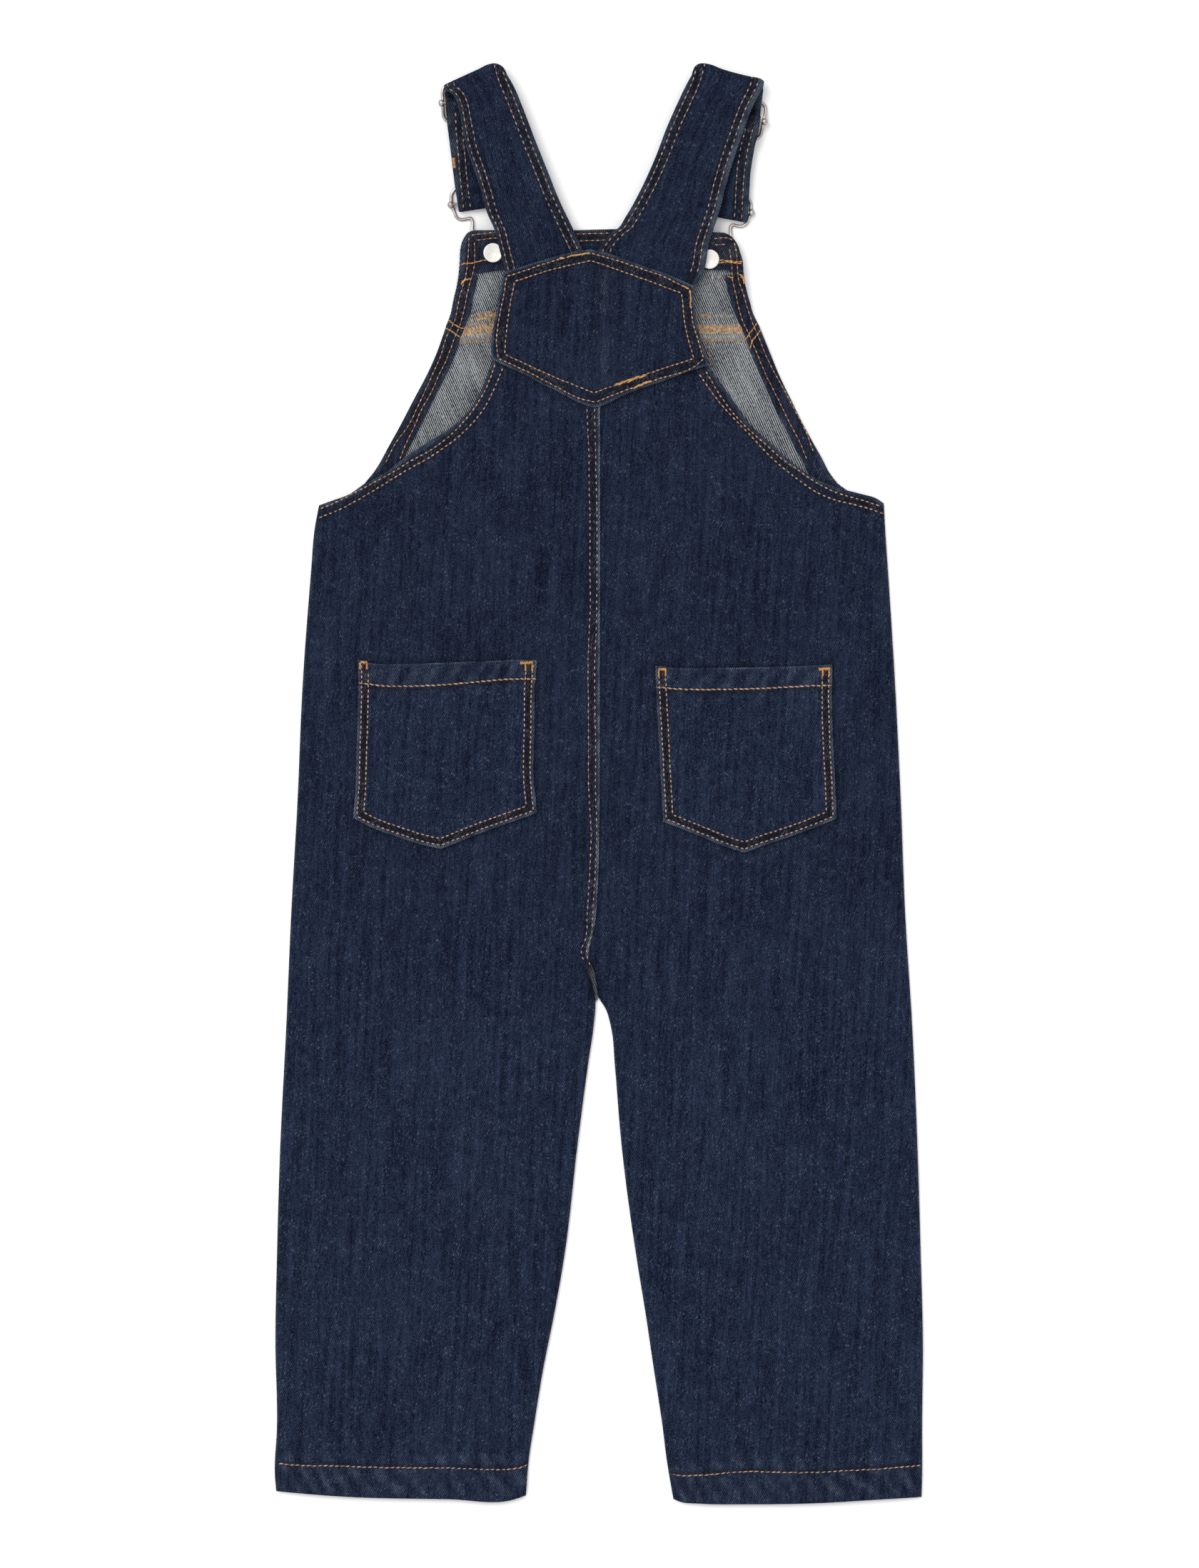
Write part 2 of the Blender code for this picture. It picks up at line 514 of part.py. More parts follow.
def strap_sections(strap):
    """Sections along the strap from the yoke, over the shoulder fold, round the hook's crossbar and back to
    the slide's bar: each is a function of u (0 outer edge, 1 inner edge) giving (across, up, height)."""
    slide = Frame(strap["slide"], strap["out"], strap["slide_tilt"])
    hook = Frame(strap["hook"], strap["out"], strap["hook_tilt"])
    outer, inner = by_length(strap["back_outer"]), by_length(strap["back_inner"])
    front_outer, front_inner = by_up(strap["front_outer"][::-1]), by_up(strap["front_inner"][::-1])
    fold = by_length(strap["fold"])
    corner, last = fold(0), fold(1)
    along_fold = (last - corner) / np.linalg.norm(last - corner)
    away = np.array((-along_fold[1], along_fold[0])) * (1 if along_fold[0] > 0 else -1)

    def back(t):
        def section(u):
            across, up = (1 - u) * outer(t) + u * inner(t)
            if t > FOLD_START:
                on_fold = fold(u) - away * (FOLD_RADIUS + STRAP_CLOTH / 2)
                bend = rise((t - FOLD_START) / (1 - FOLD_START))
                across, up = np.array((across, up)) + bend * (on_fold - (across, up))
            low = deck_height(across, up) + STRAP_CLOTH / 2
            return across, up, low + rise((up - STRAP_LIFT_UP) / STRAP_LIFT_REACH) * (BACK_MIDDLE - low)
        return section

    def round_fold(angle):
        def section(u):
            across, up = fold(u) - away * (FOLD_RADIUS * (1 - math.sin(angle)) + STRAP_CLOTH / 2)
            return across, up, MAIN_OVER_WIRE + FOLD_RADIUS * (1 + math.cos(angle))
        return section

    def crossing(frame, level):
        """Where a bar's line meets the strap's outer and inner edges, as their ups."""
        outer_up = inner_up = frame.origin[1]
        for _ in range(6):
            outer_up += level - frame.up_of((front_outer(outer_up), outer_up))
            inner_up += level - frame.up_of((front_inner(inner_up), inner_up))
        return outer_up, inner_up

    fold_ups = [(fold(u) - away * (FOLD_RADIUS + STRAP_CLOTH / 2))[1] for u in (0, 1)]
    slide_ups, hook_ups = crossing(slide, 0.0), crossing(hook, HOOK_BAR_UP)

    def plan(q):
        """Plan line at q: 0 at the fold, 1 at the slide's bar, 2 at the hook's crossbar."""
        a, b = (fold_ups, slide_ups) if q < 1 else (slide_ups, hook_ups)
        s = q if q < 1 else q - 1
        outer_up, inner_up = a[0] + s * (b[0] - a[0]), a[1] + s * (b[1] - a[1])
        start_outer = np.array((front_outer(outer_up), outer_up))
        start_inner = np.array((front_inner(inner_up), inner_up))

        def line(u):
            straight = (1 - u) * start_outer + u * start_inner
            if q < 1:
                bow = fold(u) - ((1 - u) * fold(0) + u * fold(1))
                straight = straight + bow * (1 - rise(q * 1.4))
            return straight
        return line

    def main_height(plan_point, q):
        over = max(wire_bump(slide.up_of(plan_point) - SLIDE_HALF_HEIGHT),
                   wire_bump(slide.up_of(plan_point) + SLIDE_HALF_HEIGHT),
                   wire_bump(hook.up_of(plan_point) - HOOK_TOP_UP), 1 - rise(q * 3))
        return MAIN_LOW + over * (MAIN_OVER_WIRE - MAIN_LOW)

    def end_share(plan_point):
        """1 where the sewn-back end lies under the return layer."""
        return rise((slide.up_of(plan_point) + STRAP_END_DROP + END_STEP_BEFORE) / END_STEP_REACH)

    def main(q):
        line = plan(q)
        return lambda u: (*line(u), main_height(line(u), q))

    def returning(q):
        line = plan(q)

        def section(u):
            place = line(u)
            height = main_height(place, q) + LAYER * (1 + end_share(place))
            near_crossbar = wire_bump(hook.up_of(place) - HOOK_BAR_UP)
            height = max(height, MAIN_LOW + near_crossbar * 2 * BAR_WRAP)
            past_frame = slide.up_of(place) + SLIDE_HALF_HEIGHT + SLIDE_STEP_BEFORE
            near_slide = rise(past_frame / SLIDE_STEP_REACH)
            return (*place, height + near_slide * (BACK_MIDDLE - LAYER - height))
        return section

    def ending(q):
        line = plan(q)
        return lambda u: (*line(u), main_height(line(u), q) + LAYER)

    def wrap(q, frame, direction, low, angle):
        line = plan(q)
        shift = direction * frame.upward * BAR_WRAP * math.sin(angle)
        return lambda u: (*(line(u) + shift), low + BAR_WRAP * (1 - math.cos(angle)))

    turn = [math.pi * k / TURN_STEPS for k in range(1, TURN_STEPS)]
    sections = [back(t) for t in BACK_STATIONS]
    sections += [round_fold(angle) for angle in (0.0, *turn, math.pi)]
    before_slide = max(2, round((fold_ups[0] - slide_ups[0]) / FOLD_TO_SLIDE_STEP))
    sections += [main(q / before_slide) for q in range(1, before_slide + 1)]
    sections += [main(1 + s) for s in FRONT_STATIONS[1:]]
    sections += [wrap(2.0, hook, -1, MAIN_LOW, angle) for angle in turn]
    sections += [returning(1 + s) for s in FRONT_STATIONS[::-1]]
    sections += [wrap(1.0, slide, 1, MAIN_LOW + LAYER, math.pi - angle) for angle in turn]
    sections += [ending(1 + s) for s in FRONT_STATIONS if s < STRAP_END_SHARE]
    return sections


def build_straps():
    for name, strap in (("strap_left", LEFT_STRAP), ("strap_right", RIGHT_STRAP)):
        sections = strap_sections(strap)
        flip = strap["out"] < 0

        def surface(u, v, sections=sections, flip=flip):
            return sections[round(v * (len(sections) - 1))](u if flip else 1 - u)
        cloth(name, 3, len(sections) - 1, surface, STRAP_CLOTH, DENIM, offset=0.0)


# ---- metal ---------------------------------------------------------------------------------------

def wire_mesh(name, points):
    """A closed round wire through the points."""
    curve = bpy.data.curves.new(name, "CURVE")
    curve.dimensions = "3D"
    curve.bevel_depth = WIRE / 2 * MM
    curve.bevel_resolution = 2
    line = curve.splines.new("POLY")
    line.points.add(len(points) - 1)
    for spot, point in zip(line.points, points):
        spot.co = (*place_mm(*point), 1.0)
    line.use_cyclic_u = True
    thing = add_object(name + "_wire", curve)
    mesh = bpy.data.meshes.new_from_object(thing.evaluated_get(bpy.context.evaluated_depsgraph_get()))
    mesh.name = name
    bpy.data.objects.remove(thing)
    bm = bmesh.new()
    bm.from_mesh(mesh)
    bmesh.ops.remove_doubles(bm, verts=bm.verts, dist=1e-6)
    bmesh.ops.recalc_face_normals(bm, faces=bm.faces)
    bm.to_mesh(mesh)
    bm.free()
    return mesh


def ball_bar(name, middle, direction, half_length, height, ball_height):
    """A straight bar with a ball on each end, as cutters that are joined to the wire."""
    parts = []
    turn = math.atan2(direction[1], direction[0])
    for kind, along, z in (("bar", 0.0, height), ("ball", -half_length, ball_height),
                           ("ball", half_length, ball_height)):
        bm = bmesh.new()
        if kind == "bar":
            bmesh.ops.create_cone(bm, cap_ends=True, segments=10, radius1=WIRE / 2 * MM,
                                  radius2=WIRE / 2 * MM, depth=2 * half_length * MM)
            bmesh.ops.rotate(bm, verts=bm.verts, matrix=Matrix.Rotation(math.pi / 2, 3, "Y"))
        else:
            bmesh.ops.create_uvsphere(bm, u_segments=12, v_segments=8, radius=BALL_RADIUS * MM)
        mesh = bpy.data.meshes.new(f"{name}_{kind}")
        bm.to_mesh(mesh)
        bm.free()
        part = add_object(mesh.name, mesh, "cutters")
        spot = np.array(middle) + along * np.array(direction)
        part.location = place_mm(*spot, z)
        part.rotation_euler[2] = turn
        part.hide_render = True
        part.display_type = "WIRE"
        parts.append(part)
    return parts


def metal_piece(name, mesh, joined):
    thing = add_object(name, mesh)
    thing.data.materials.append(material(name, SILVER, 0.3, 1.0))
    for part in joined:
        join = thing.modifiers.new("join", "BOOLEAN")
        join.operation = "UNION"
        join.object = part
        join.solver = "EXACT"
    return thing


def arc(centre, radius, start, end, steps):
    """Points on an arc in degrees."""
    return [(centre[0] + radius * math.cos(math.radians(a)), centre[1] + radius * math.sin(math.radians(a)))
            for a in np.linspace(start, end, steps + 1)]


def build_slide(name, strap):
    """Rounded wire frame, arched at its sides to meet the centre bar."""
    frame = Frame(strap["slide"], strap["out"], strap["slide_tilt"])
    w, h, r = SLIDE_HALF_WIDTH, SLIDE_HALF_HEIGHT, SLIDE_CORNER
    high, low = SLIDE_ARCH_AT
    plan = (arc((w - r, h - r), r, 90, 0, 3) + [(w, high), (w, low), (w, -low), (w, -high)]
            + arc((w - r, r - h), r, 0, -90, 3) + arc((r - w, r - h), r, -90, -180, 3)
            + [(-w, -high), (-w, -low), (-w, low), (-w, high)] + arc((r - w, h - r), r, 180, 90, 3))
    points = []
    for inward, up in plan:
        arch = SLIDE_ARCH * rise((h - r + 1.5 - abs(up)) / (h - r)) if abs(inward) > w - 0.1 else 0.0
        points.append((*frame.point(inward, up), WIRE / 2 + arch))
    bar_height = MAIN_LOW + LAYER + BAR_WRAP
    ball_height = (bar_height + WIRE / 2 + SLIDE_ARCH) / 2
    joined = ball_bar(name, frame.origin, frame.inward, SLIDE_BALL, bar_height, ball_height)
    metal_piece(name, wire_mesh(name, points), joined)


def build_hook(name, strap):
    """Wire frame with a crossbar for the strap, shoulders, and a long loop that narrows to a slot."""
    frame = Frame(strap["hook"], strap["out"], strap["hook_tilt"])
    plan = [*HOOK_HALF, HOOK_TIP, *[(-inward, up) for inward, up in HOOK_HALF[:0:-1]]]
    crossbar_height = MAIN_LOW + BAR_WRAP
    points = []
    for inward, up in plan:
        climb = rise((HOOK_SLOPE_TOP - up) / (HOOK_SLOPE_TOP - HOOK_SLOPE_LOW))
        lift = HOOK_BAR_LIFT * rise((HOOK_BAR_REACH - abs(up - HOOK_BAR_UP)) / HOOK_BAR_SLOPE)
        points.append((*frame.point(inward, up), WIRE / 2 + lift + climb * (HOOK_SLOT_HEIGHT - WIRE / 2)))
    joined = ball_bar(name, frame.point(0, HOOK_BAR_UP), frame.inward, HOOK_BALL, crossbar_height,
                      HOOK_BALL_HEIGHT)
    metal_piece(name, wire_mesh(name, points), joined)


def build_button(name, strap):
    """Turned: the cap lies on the floor, the neck goes up through bib and facing to the disc."""
    disc_low = BIB_RISE + CLOTH + GAP + TRIM_CLOTH + DISC_CLEARANCE
    cap = [(CAP_RADIUS - inside, height) for inside, height in CAP_ROUNDING]
    disc_high = disc_low + DISC_THICK
    profile = [(0.0, 0.0), *cap, (NECK_RADIUS, CAP_THICK), (NECK_RADIUS, disc_low), (DISC_RADIUS, disc_low),
               (DISC_RADIUS, disc_high - DISC_EDGE), (DISC_RADIUS - DISC_EDGE, disc_high), (0.0, disc_high)]
    mesh = bpy.data.meshes.new(name)
    mesh.from_pydata([(r * MM, 0, z * MM) for r, z in profile[::-1]],
                     [(i, i + 1) for i in range(len(profile) - 1)], [])
    thing = add_object(name, mesh)
    thing.location = place_mm(*strap["button"], 0.0)
    thing.data.materials.append(material(name, SILVER, 0.3, 1.0))
    turn = thing.modifiers.new("turn", "SCREW")
    turn.steps = turn.render_steps = 20
    turn.use_merge_vertices = True
    turn.merge_threshold = 1e-6
    turn.use_normal_calculate = True


def build_metal():
    for side, strap in (("left", LEFT_STRAP), ("right", RIGHT_STRAP)):
        build_slide(f"slider_{side}", strap)
        build_hook(f"hook_{side}", strap)
        build_button(f"button_{side}", strap)


start()
build_fronts()
build_bib()
build_side_hems()
build_backs()
build_yoke()
build_pockets()
build_straps()
build_metal()
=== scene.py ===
# %% [markdown]
# # A child's denim dungarees, laid flat with the back up
#
# The garment lies on a table: the front and the bib underneath, the back with its two pockets on top, and the two
# shoulder straps folded over so that their slides and hooks reach the bib's buttons. This file dresses the plain
# solids of that garment with what makes it look sewn: cloth with a weave, rows of stitching, worn edges, creases
# and smooth wire. Each step first says what the thing is on the real garment and why it is made the way it is.

import math
import random

import bmesh
import bpy
import numpy as np
from mathutils import Matrix, Vector

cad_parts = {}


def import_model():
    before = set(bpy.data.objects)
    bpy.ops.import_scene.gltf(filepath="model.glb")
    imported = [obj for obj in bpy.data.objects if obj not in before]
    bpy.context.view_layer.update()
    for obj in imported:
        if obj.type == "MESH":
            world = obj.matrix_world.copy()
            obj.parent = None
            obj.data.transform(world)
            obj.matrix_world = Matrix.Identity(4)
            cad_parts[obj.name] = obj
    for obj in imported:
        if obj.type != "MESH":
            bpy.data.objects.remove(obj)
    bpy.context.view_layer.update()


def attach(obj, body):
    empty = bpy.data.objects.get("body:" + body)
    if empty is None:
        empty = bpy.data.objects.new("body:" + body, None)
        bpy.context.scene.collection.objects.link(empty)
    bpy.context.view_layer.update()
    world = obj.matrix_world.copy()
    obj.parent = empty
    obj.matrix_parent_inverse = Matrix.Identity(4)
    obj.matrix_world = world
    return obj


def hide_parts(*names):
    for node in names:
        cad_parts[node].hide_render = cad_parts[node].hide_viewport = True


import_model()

# %% [markdown]
# ## Measures
#
# A pattern cutter works on a flat table with two numbers: how far across and how far up. All places below are given
# like that, in millimetres, "across" from the middle and "up" from the lowest point of the leg hems, with a height
# above the table as a third number. One function turns them into Blender's metres. It takes whole arrays at once,
# because a garment has many thousand points and numpy moves them all in one sum.

# %% From the cutting table to Blender
MM = 0.001
MIDDLE_ACROSS, MIDDLE_UP = -0.3, 372.8      # this place on the cutting table lies over the scene's origin


def world(across, up, height):
    """Places on the cutting table as metres, one row of x, y, z for each."""
    across, up, height = np.broadcast_arrays(across, up, height)
    return np.stack([across - MIDDLE_ACROSS, up - MIDDLE_UP, height], axis=-1) * MM


print("the hems' lowest point is at", world(0, 0, 0))

# %% [markdown]
# ## Camera, light and table
#
# Clothes are photographed flat from straight above, from far away with a long lens, so that the edges don't lean
# outwards. The table is nearly white and the light is soft and almost even: a bright white surrounding, and one wide
# sun from the upper left that gives seams and creases a light and a dark side.

# %% Camera straight above
PIXELS_HIGH, PIXEL = 2197, 0.37             # a pixel of the picture covers 0.37 mm of the table
PICTURE_HEIGHT = PIXELS_HIGH * PIXEL * MM
CAMERA_HEIGHT = 5.0
camera = bpy.data.objects.new("camera", bpy.data.cameras.new("camera"))
camera.location = (0.0003, 0.0004, CAMERA_HEIGHT)
camera.data.lens = camera.data.sensor_width * CAMERA_HEIGHT / PICTURE_HEIGHT
camera.data.clip_end = 50.0
bpy.context.scene.collection.objects.link(camera)
bpy.context.scene.camera = camera
print("lens", round(camera.data.lens), "mm")

# %% Light
surrounding = bpy.data.worlds.new("white room")
surrounding.use_nodes = True
surrounding.node_tree.nodes["Background"].inputs["Color"].default_value = (1.0, 1.0, 1.0, 1.0)
surrounding.node_tree.nodes["Background"].inputs["Strength"].default_value = 1.0
bpy.context.scene.world = surrounding
bpy.context.scene.view_settings.view_transform = "Standard"

window = bpy.data.objects.new("window", bpy.data.lights.new("window", "SUN"))
window.data.energy = 1.5
window.data.angle = math.radians(40)
window.rotation_euler = Vector((-0.6, 0.55, 1.0)).to_track_quat("Z", "Y").to_euler()
bpy.context.scene.collection.objects.link(window)

# %% [markdown]
# ## Finishes as sums
#
# A shader's nodes are sums drawn as boxes and wires. Here they are written as Python sums instead: a Value stands
# for one output socket, and adding or multiplying Values adds the Math nodes. Every other node comes from one
# method, which first sets the node's own settings and then its sockets, to numbers or to links.

# %% Values and finishes


class Value:
    """One output socket of a shader node, which can stand in a sum."""

    def __init__(self, finish, socket):
        self.finish, self.socket = finish, socket

    def other(self, name):
        """Another output of the same node."""
        return Value(self.finish, self.socket.node.outputs[name])

    def sum_of(self, operation, *terms):
        return self.finish.node("Math", {"operation": operation}, dict(enumerate(terms)))

    def __add__(self, term):
        return self.sum_of("ADD", self, term)

    def __sub__(self, term):
        return self.sum_of("SUBTRACT", self, term)

    def __rsub__(self, term):
        return self.sum_of("SUBTRACT", term, self)

    def __mul__(self, term):
        return self.sum_of("MULTIPLY", self, term)

    __radd__, __rmul__ = __add__, __mul__

    def sine(self):
        return self.sum_of("SINE", self)

    def limited(self):
        return self.finish.node("Clamp", {}, {"Value": self})

    def step(self, low, high):
        """0 below low, 1 above high, smooth between."""
        return self.finish.node("MapRange", {"interpolation_type": "SMOOTHSTEP"},
                                {"Value": self, "From Min": low, "From Max": high})


class Finish:
    """A material and its nodes."""

    def __init__(self, name, **fixed):
        self.material = bpy.data.materials.new(name)
        self.material.use_nodes = True
        self.tree = self.material.node_tree
        self.shader = self.tree.nodes["Principled BSDF"]
        for socket, value in fixed.items():
            self.shader.inputs[socket.replace("_", " ")].default_value = value

    def node(self, kind, settings, sockets, out=0):
        made = self.tree.nodes.new("ShaderNode" + kind)
        for setting, value in settings.items():
            setattr(made, setting, value)
        for socket, value in sockets.items():
            self.feed(made.inputs[socket], value)
        return Value(self, made.outputs[out])

    def feed(self, socket, value):
        if isinstance(value, Value):
            self.tree.links.new(value.socket, socket)
        else:
            socket.default_value = value

    def show(self, **sockets):
        for socket, value in sockets.items():
            self.feed(self.shader.inputs[socket.replace("_", " ")], value)

    def mark(self, name):
        """A number painted on the cloth when it was made, such as how worn it is there."""
        return self.node("Attribute", {"attribute_name": name}, {}, "Fac")

    def blend(self, share, below, above):
        return self.node("Mix", {"data_type": "RGBA"}, {0: share, 6: below, 7: above}, 2)

    def noise(self, place, scale, lean=0.0, detail=2.0, shift=(0.0, 0.0, 0.0)):
        """Cloudy numbers around 0.5; scale is how many clouds a metre, across and along, and lean is how far
        their long way leans to the right, in degrees."""
        turned = self.node("Mapping", {"vector_type": "TEXTURE"},
                           {"Vector": place, "Scale": tuple(1.0 / s for s in scale), "Location": shift,
                            "Rotation": (0.0, 0.0, math.radians(-lean))})
        return self.node("TexNoise", {}, {"Vector": turned, "Scale": 1.0, "Detail": detail})

    def bumped(self, height, strength, distance):
        return self.node("Bump", {}, {"Height": height, "Strength": strength, "Distance": distance}, "Normal")


# %% [markdown]
# ## Denim, right side
#
# Denim is a twill: blue warp threads float over a pale weft, and each float starts one thread further along, which
# draws slanting lines about a millimetre apart. On the right side nearly all that shows is warp. The yarn is uneven,
# so long slubs run up the cloth, and where the warp has rubbed thin, short dashes of weft come through. Edges that
# are folded over a thick seam wear first. A photo texture would repeat and would have to be painted for every piece.
# Sums on the cloth's own map run on without a repeat, and two marks are painted on each piece as it is made, so that
# the sums know where its edges and seams are. "wear" says how worn the cloth is. "shade" is painted shade: the dark
# strips between twin rows and the dents of their stitches, painted shadows beside the pockets, the yoke and the seat
# seam's fold, and painted shade in grooves, in the troughs of puckers, in the crotch and on the straps beside the
# slides. It also makes the seat, the yoke and the straps a little darker overall.

# %% Denim, right side
TWILL_PITCH = 1.07          # millimetres across between two slanting lines
TWILL_LEAN = 0.53           # millimetres across for one millimetre up
WEFT_DASH, STRIP_RIB = (0.095, 0.12, 0.165, 1.0), (0.078, 0.085, 0.105, 1.0)
DENIM_SHADE = (0.0042, 0.0043, 0.0068, 1.0)


def twill_lines(finish, place, pitch, lean, wander):
    """Slanting lines as a wave from 0 to 1, its slant wandering a little."""
    split = finish.node("SeparateXYZ", {}, {0: place})
    turn = 2 * math.pi / (pitch * MM)
    phase = split * turn - split.other("Y") * (lean * turn) + wander * 7.0
    return phase.sine() * 0.5 + 0.5


def denim_right_side(name, dark, light, worn, contrast=0.5):
    finish = Finish(name, Roughness=0.9, Specular_IOR_Level=0.06)
    place = finish.node("UVMap", {"uv_map": "weave"}, {}, "UV")
    clouds = finish.noise(place, (22.0, 16.0, 1.0), detail=3.0)
    blotches = finish.noise(place, (150.0, 105.0, 1.0), lean=20.0, detail=2.0, shift=(5.0, 5.0, 0.0))
    wander = finish.noise(place, (60.0, 45.0, 1.0), shift=(3.0, 1.0, 0.0))
    slubs = finish.noise(place, (400.0, 20.0, 1.0), lean=3.0, detail=3.0)
    threads = finish.noise(place, (900.0, 260.0, 1.0), lean=4.0, detail=2.0, shift=(7.0, 2.0, 0.0))
    grain = finish.noise(place, (1700.0, 1300.0, 1.0), detail=1.0)
    dashes = finish.noise(place, (1700.0, 520.0, 1.0), lean=29.0, detail=1.0, shift=(1.0, 9.0, 0.0))
    twill = twill_lines(finish, place, TWILL_PITCH, TWILL_LEAN, wander)
    wear, shade = finish.mark("wear"), finish.mark("shade")
    patchy = clouds.step(0.38, 0.62)
    tone = ((twill - 0.5) * (patchy * 0.7 + 0.1) * contrast + (slubs - 0.5) + (threads - 0.5)
            + (grain - 0.5) * 1.7 + (blotches - 0.5) * 0.3 + (clouds - 0.5) * 0.3 + 0.35)
    colour = finish.blend(tone.limited(), (*dark, 1.0), (*light, 1.0))
    flecks = (dashes + (twill - 0.5) * 0.06).step(0.58, 0.77) * (blotches.step(0.42, 0.62) * 0.6 + 0.14)
    colour = finish.blend(flecks, colour, WEFT_DASH)
    # painted shade: where the shade mark is high, the cloth is painted near-black
    colour = finish.blend((shade * 0.8).limited(), colour, DENIM_SHADE)
    ribs = (twill * 0.5 + grain * 0.75 + threads * 0.4).step(0.66, 1.12)
    strip_ribs = ((dashes * 0.75 + ribs * 0.12).step(0.43, 0.56) * shade.step(0.5, 0.85)
                  * (blotches.step(0.35, 0.7) * 0.5 + 0.12))
    colour = finish.blend(strip_ribs, colour, STRIP_RIB)
    worn_here = (wear * (ribs * 0.8 + 0.1) * (blotches.step(0.34, 0.62) * 0.65 + 0.3)).limited()
    colour = finish.blend(worn_here, colour, (*worn, 1.0))
    finish.show(Base_Color=colour, Roughness=0.92 - worn_here * 0.1,
                Normal=finish.bumped(twill * 0.3 + grain * 0.8 + slubs * 0.3, 0.6, 0.00022))
    return finish.material


denim = denim_right_side("denim right side", (0.0014, 0.0028, 0.0108), (0.0225, 0.0345, 0.0692), (0.13, 0.165, 0.21))
print("made", denim.name, "with", len(denim.node_tree.nodes), "nodes")

# %% [markdown]
# ## Denim, wrong side
#
# Turned over, the same cloth is pale: now the undyed weft floats on top, and the blue warp shows only as thin dark
# steps that lean the other way, steeply, because the lines are seen from behind. The pale threads are fuzzy and
# uneven, so the dark steps break up. The facing and the turned hems inside the bib are cut from the same cloth with
# its blue side showing. It has more contrast there than outside, because less wear has reached it.

# %% Denim, wrong side, and the darker cloth of the facing and hems


def denim_wrong_side():
    finish = Finish("denim wrong side", Roughness=0.92, Specular_IOR_Level=0.15)
    place = finish.node("UVMap", {"uv_map": "weave"}, {}, "UV")
    wander = finish.noise(place, (90.0, 70.0, 1.0))
    lines = twill_lines(finish, place, 1.13, -0.445, wander)
    fuzz = finish.noise(place, (1300.0, 700.0, 1.0), lean=-24.0, detail=2.0)
    slubs = finish.noise(place, (300.0, 40.0, 1.0), lean=-24.0, detail=2.0, shift=(5.0, 3.0, 0.0))
    clouds = finish.noise(place, (35.0, 30.0, 1.0), shift=(2.0, 6.0, 0.0))
    shade, wear, thread_share = finish.mark("shade"), finish.mark("wear"), finish.mark("overlock")
    pale = (lines * 0.95 + (fuzz - 0.5) * 1.45 + (slubs - 0.5) * 0.9 + (clouds - 0.5) * 0.7 + 0.05).step(0.2, 0.95)
    colour = finish.blend(pale, (0.008, 0.012, 0.020, 1.0), (0.305, 0.32, 0.33, 1.0))
    # painted shade: where the shade mark is high, the pale side is painted dark
    colour = finish.blend((shade * 0.8).limited(), colour, (0.02, 0.023, 0.032, 1.0))
    colour = finish.blend((wear * (fuzz * 1.2)).limited(), colour, (0.20, 0.20, 0.185, 1.0))
    tangle = finish.noise(place, (900.0, 420.0, 1.0), lean=-12.0, detail=3.0, shift=(8.0, 1.0, 0.0))
    covered = ((thread_share + (tangle - 0.5) * 1.6 - (pale - 0.5) * 0.3).step(0.3, 0.95)
               * thread_share.step(0.02, 0.3))
    threads = finish.blend((tangle + fuzz - 0.5).step(0.3, 0.75), (0.17, 0.085, 0.035, 1.0), (0.50, 0.32, 0.15, 1.0))
    colour = finish.blend(covered * 0.9, colour, threads)
    finish.show(Base_Color=colour, Normal=finish.bumped(pale + fuzz * 0.4, 0.5, 0.00025))
    return finish.material


wrong_side = denim_wrong_side()
inside_denim = denim_right_side("denim of the facing", (0.0022, 0.0034, 0.010), (0.026, 0.034, 0.064),
                                (0.10, 0.125, 0.16), contrast=0.8)
print("made", wrong_side.name, "and", inside_denim.name)

# %% [markdown]
# ## Thread and metal
#
# Jeans are sewn with thick golden thread, and on the straps and the seat seam it has faded. Each float of thread is
# painted darker towards its ends, where it goes into the cloth, and a thin float painted dark all over lies between
# two
# stitches: both are painted shade. The tacks that hold a pocket's corners and the overlocking inside are a brighter
# orange, and a few overlock threads are raw white. The wire of the slides and hooks is plated and a little dull,
# tarnished brownish in places, and its sides are painted darker as painted shade. The buttons' tack discs are
# brighter.

# %% Thread and metal finishes


def thread(name, deep, bright):
    """Thick thread, painted darker towards the ends of each float, where it goes into the cloth: painted shade."""
    finish = Finish(name, Roughness=0.62, Specular_IOR_Level=0.3)
    place = finish.node("TexCoord", {}, {}, "Object")
    strands = finish.noise(place, (2600.0, 2600.0, 2600.0), detail=1.0)
    patches = finish.noise(place, (260.0, 260.0, 260.0), detail=2.0, shift=(4.0, 4.0, 4.0))
    # painted shade: the mark makes a float darker towards its ends, and a linking float dark all over
    tone = (strands * 0.7 + patches * 1.6 - 0.57).limited() * (1.0 - finish.mark("dip_shade") * 0.9)
    finish.show(Base_Color=finish.blend(tone, (*deep, 1.0), (*bright, 1.0)),
                Normal=finish.bumped(strands, 0.6, 0.00012))
    return finish.material


def metal(name, dull, bright, tarnish_and_side_shade, roughness, painted_side_shade=0.0):
    """Metal that is tarnished in spots and, as far as its last argument says, painted darker on its sides as painted
    shade.
    """
    finish = Finish(name, Metallic=1.0)
    place = finish.node("TexCoord", {}, {}, "Object")
    clouds = finish.noise(place, (170.0, 170.0, 170.0), detail=3.0)
    scuffs = finish.noise(place, (900.0, 900.0, 900.0), detail=2.0, shift=(2.0, 2.0, 2.0))
    colour = finish.blend(clouds.step(0.35, 0.65), (*dull, 1.0), (*bright, 1.0))
    colour = finish.blend(scuffs.step(0.58, 0.75) * 0.5, colour, (*tarnish_and_side_shade, 1.0))
    # painted shade: the more a place faces sideways, by the "side" mark, the more it takes the dark tarnished colour
    if painted_side_shade:
        colour = finish.blend((finish.mark("side") * painted_side_shade).limited(), colour, (*tarnish_and_side_shade, 1.0))
    finish.show(Base_Color=colour, Roughness=scuffs * 0.25 + roughness,
                Normal=finish.bumped(scuffs, 0.25, 0.00008))
    return finish.material


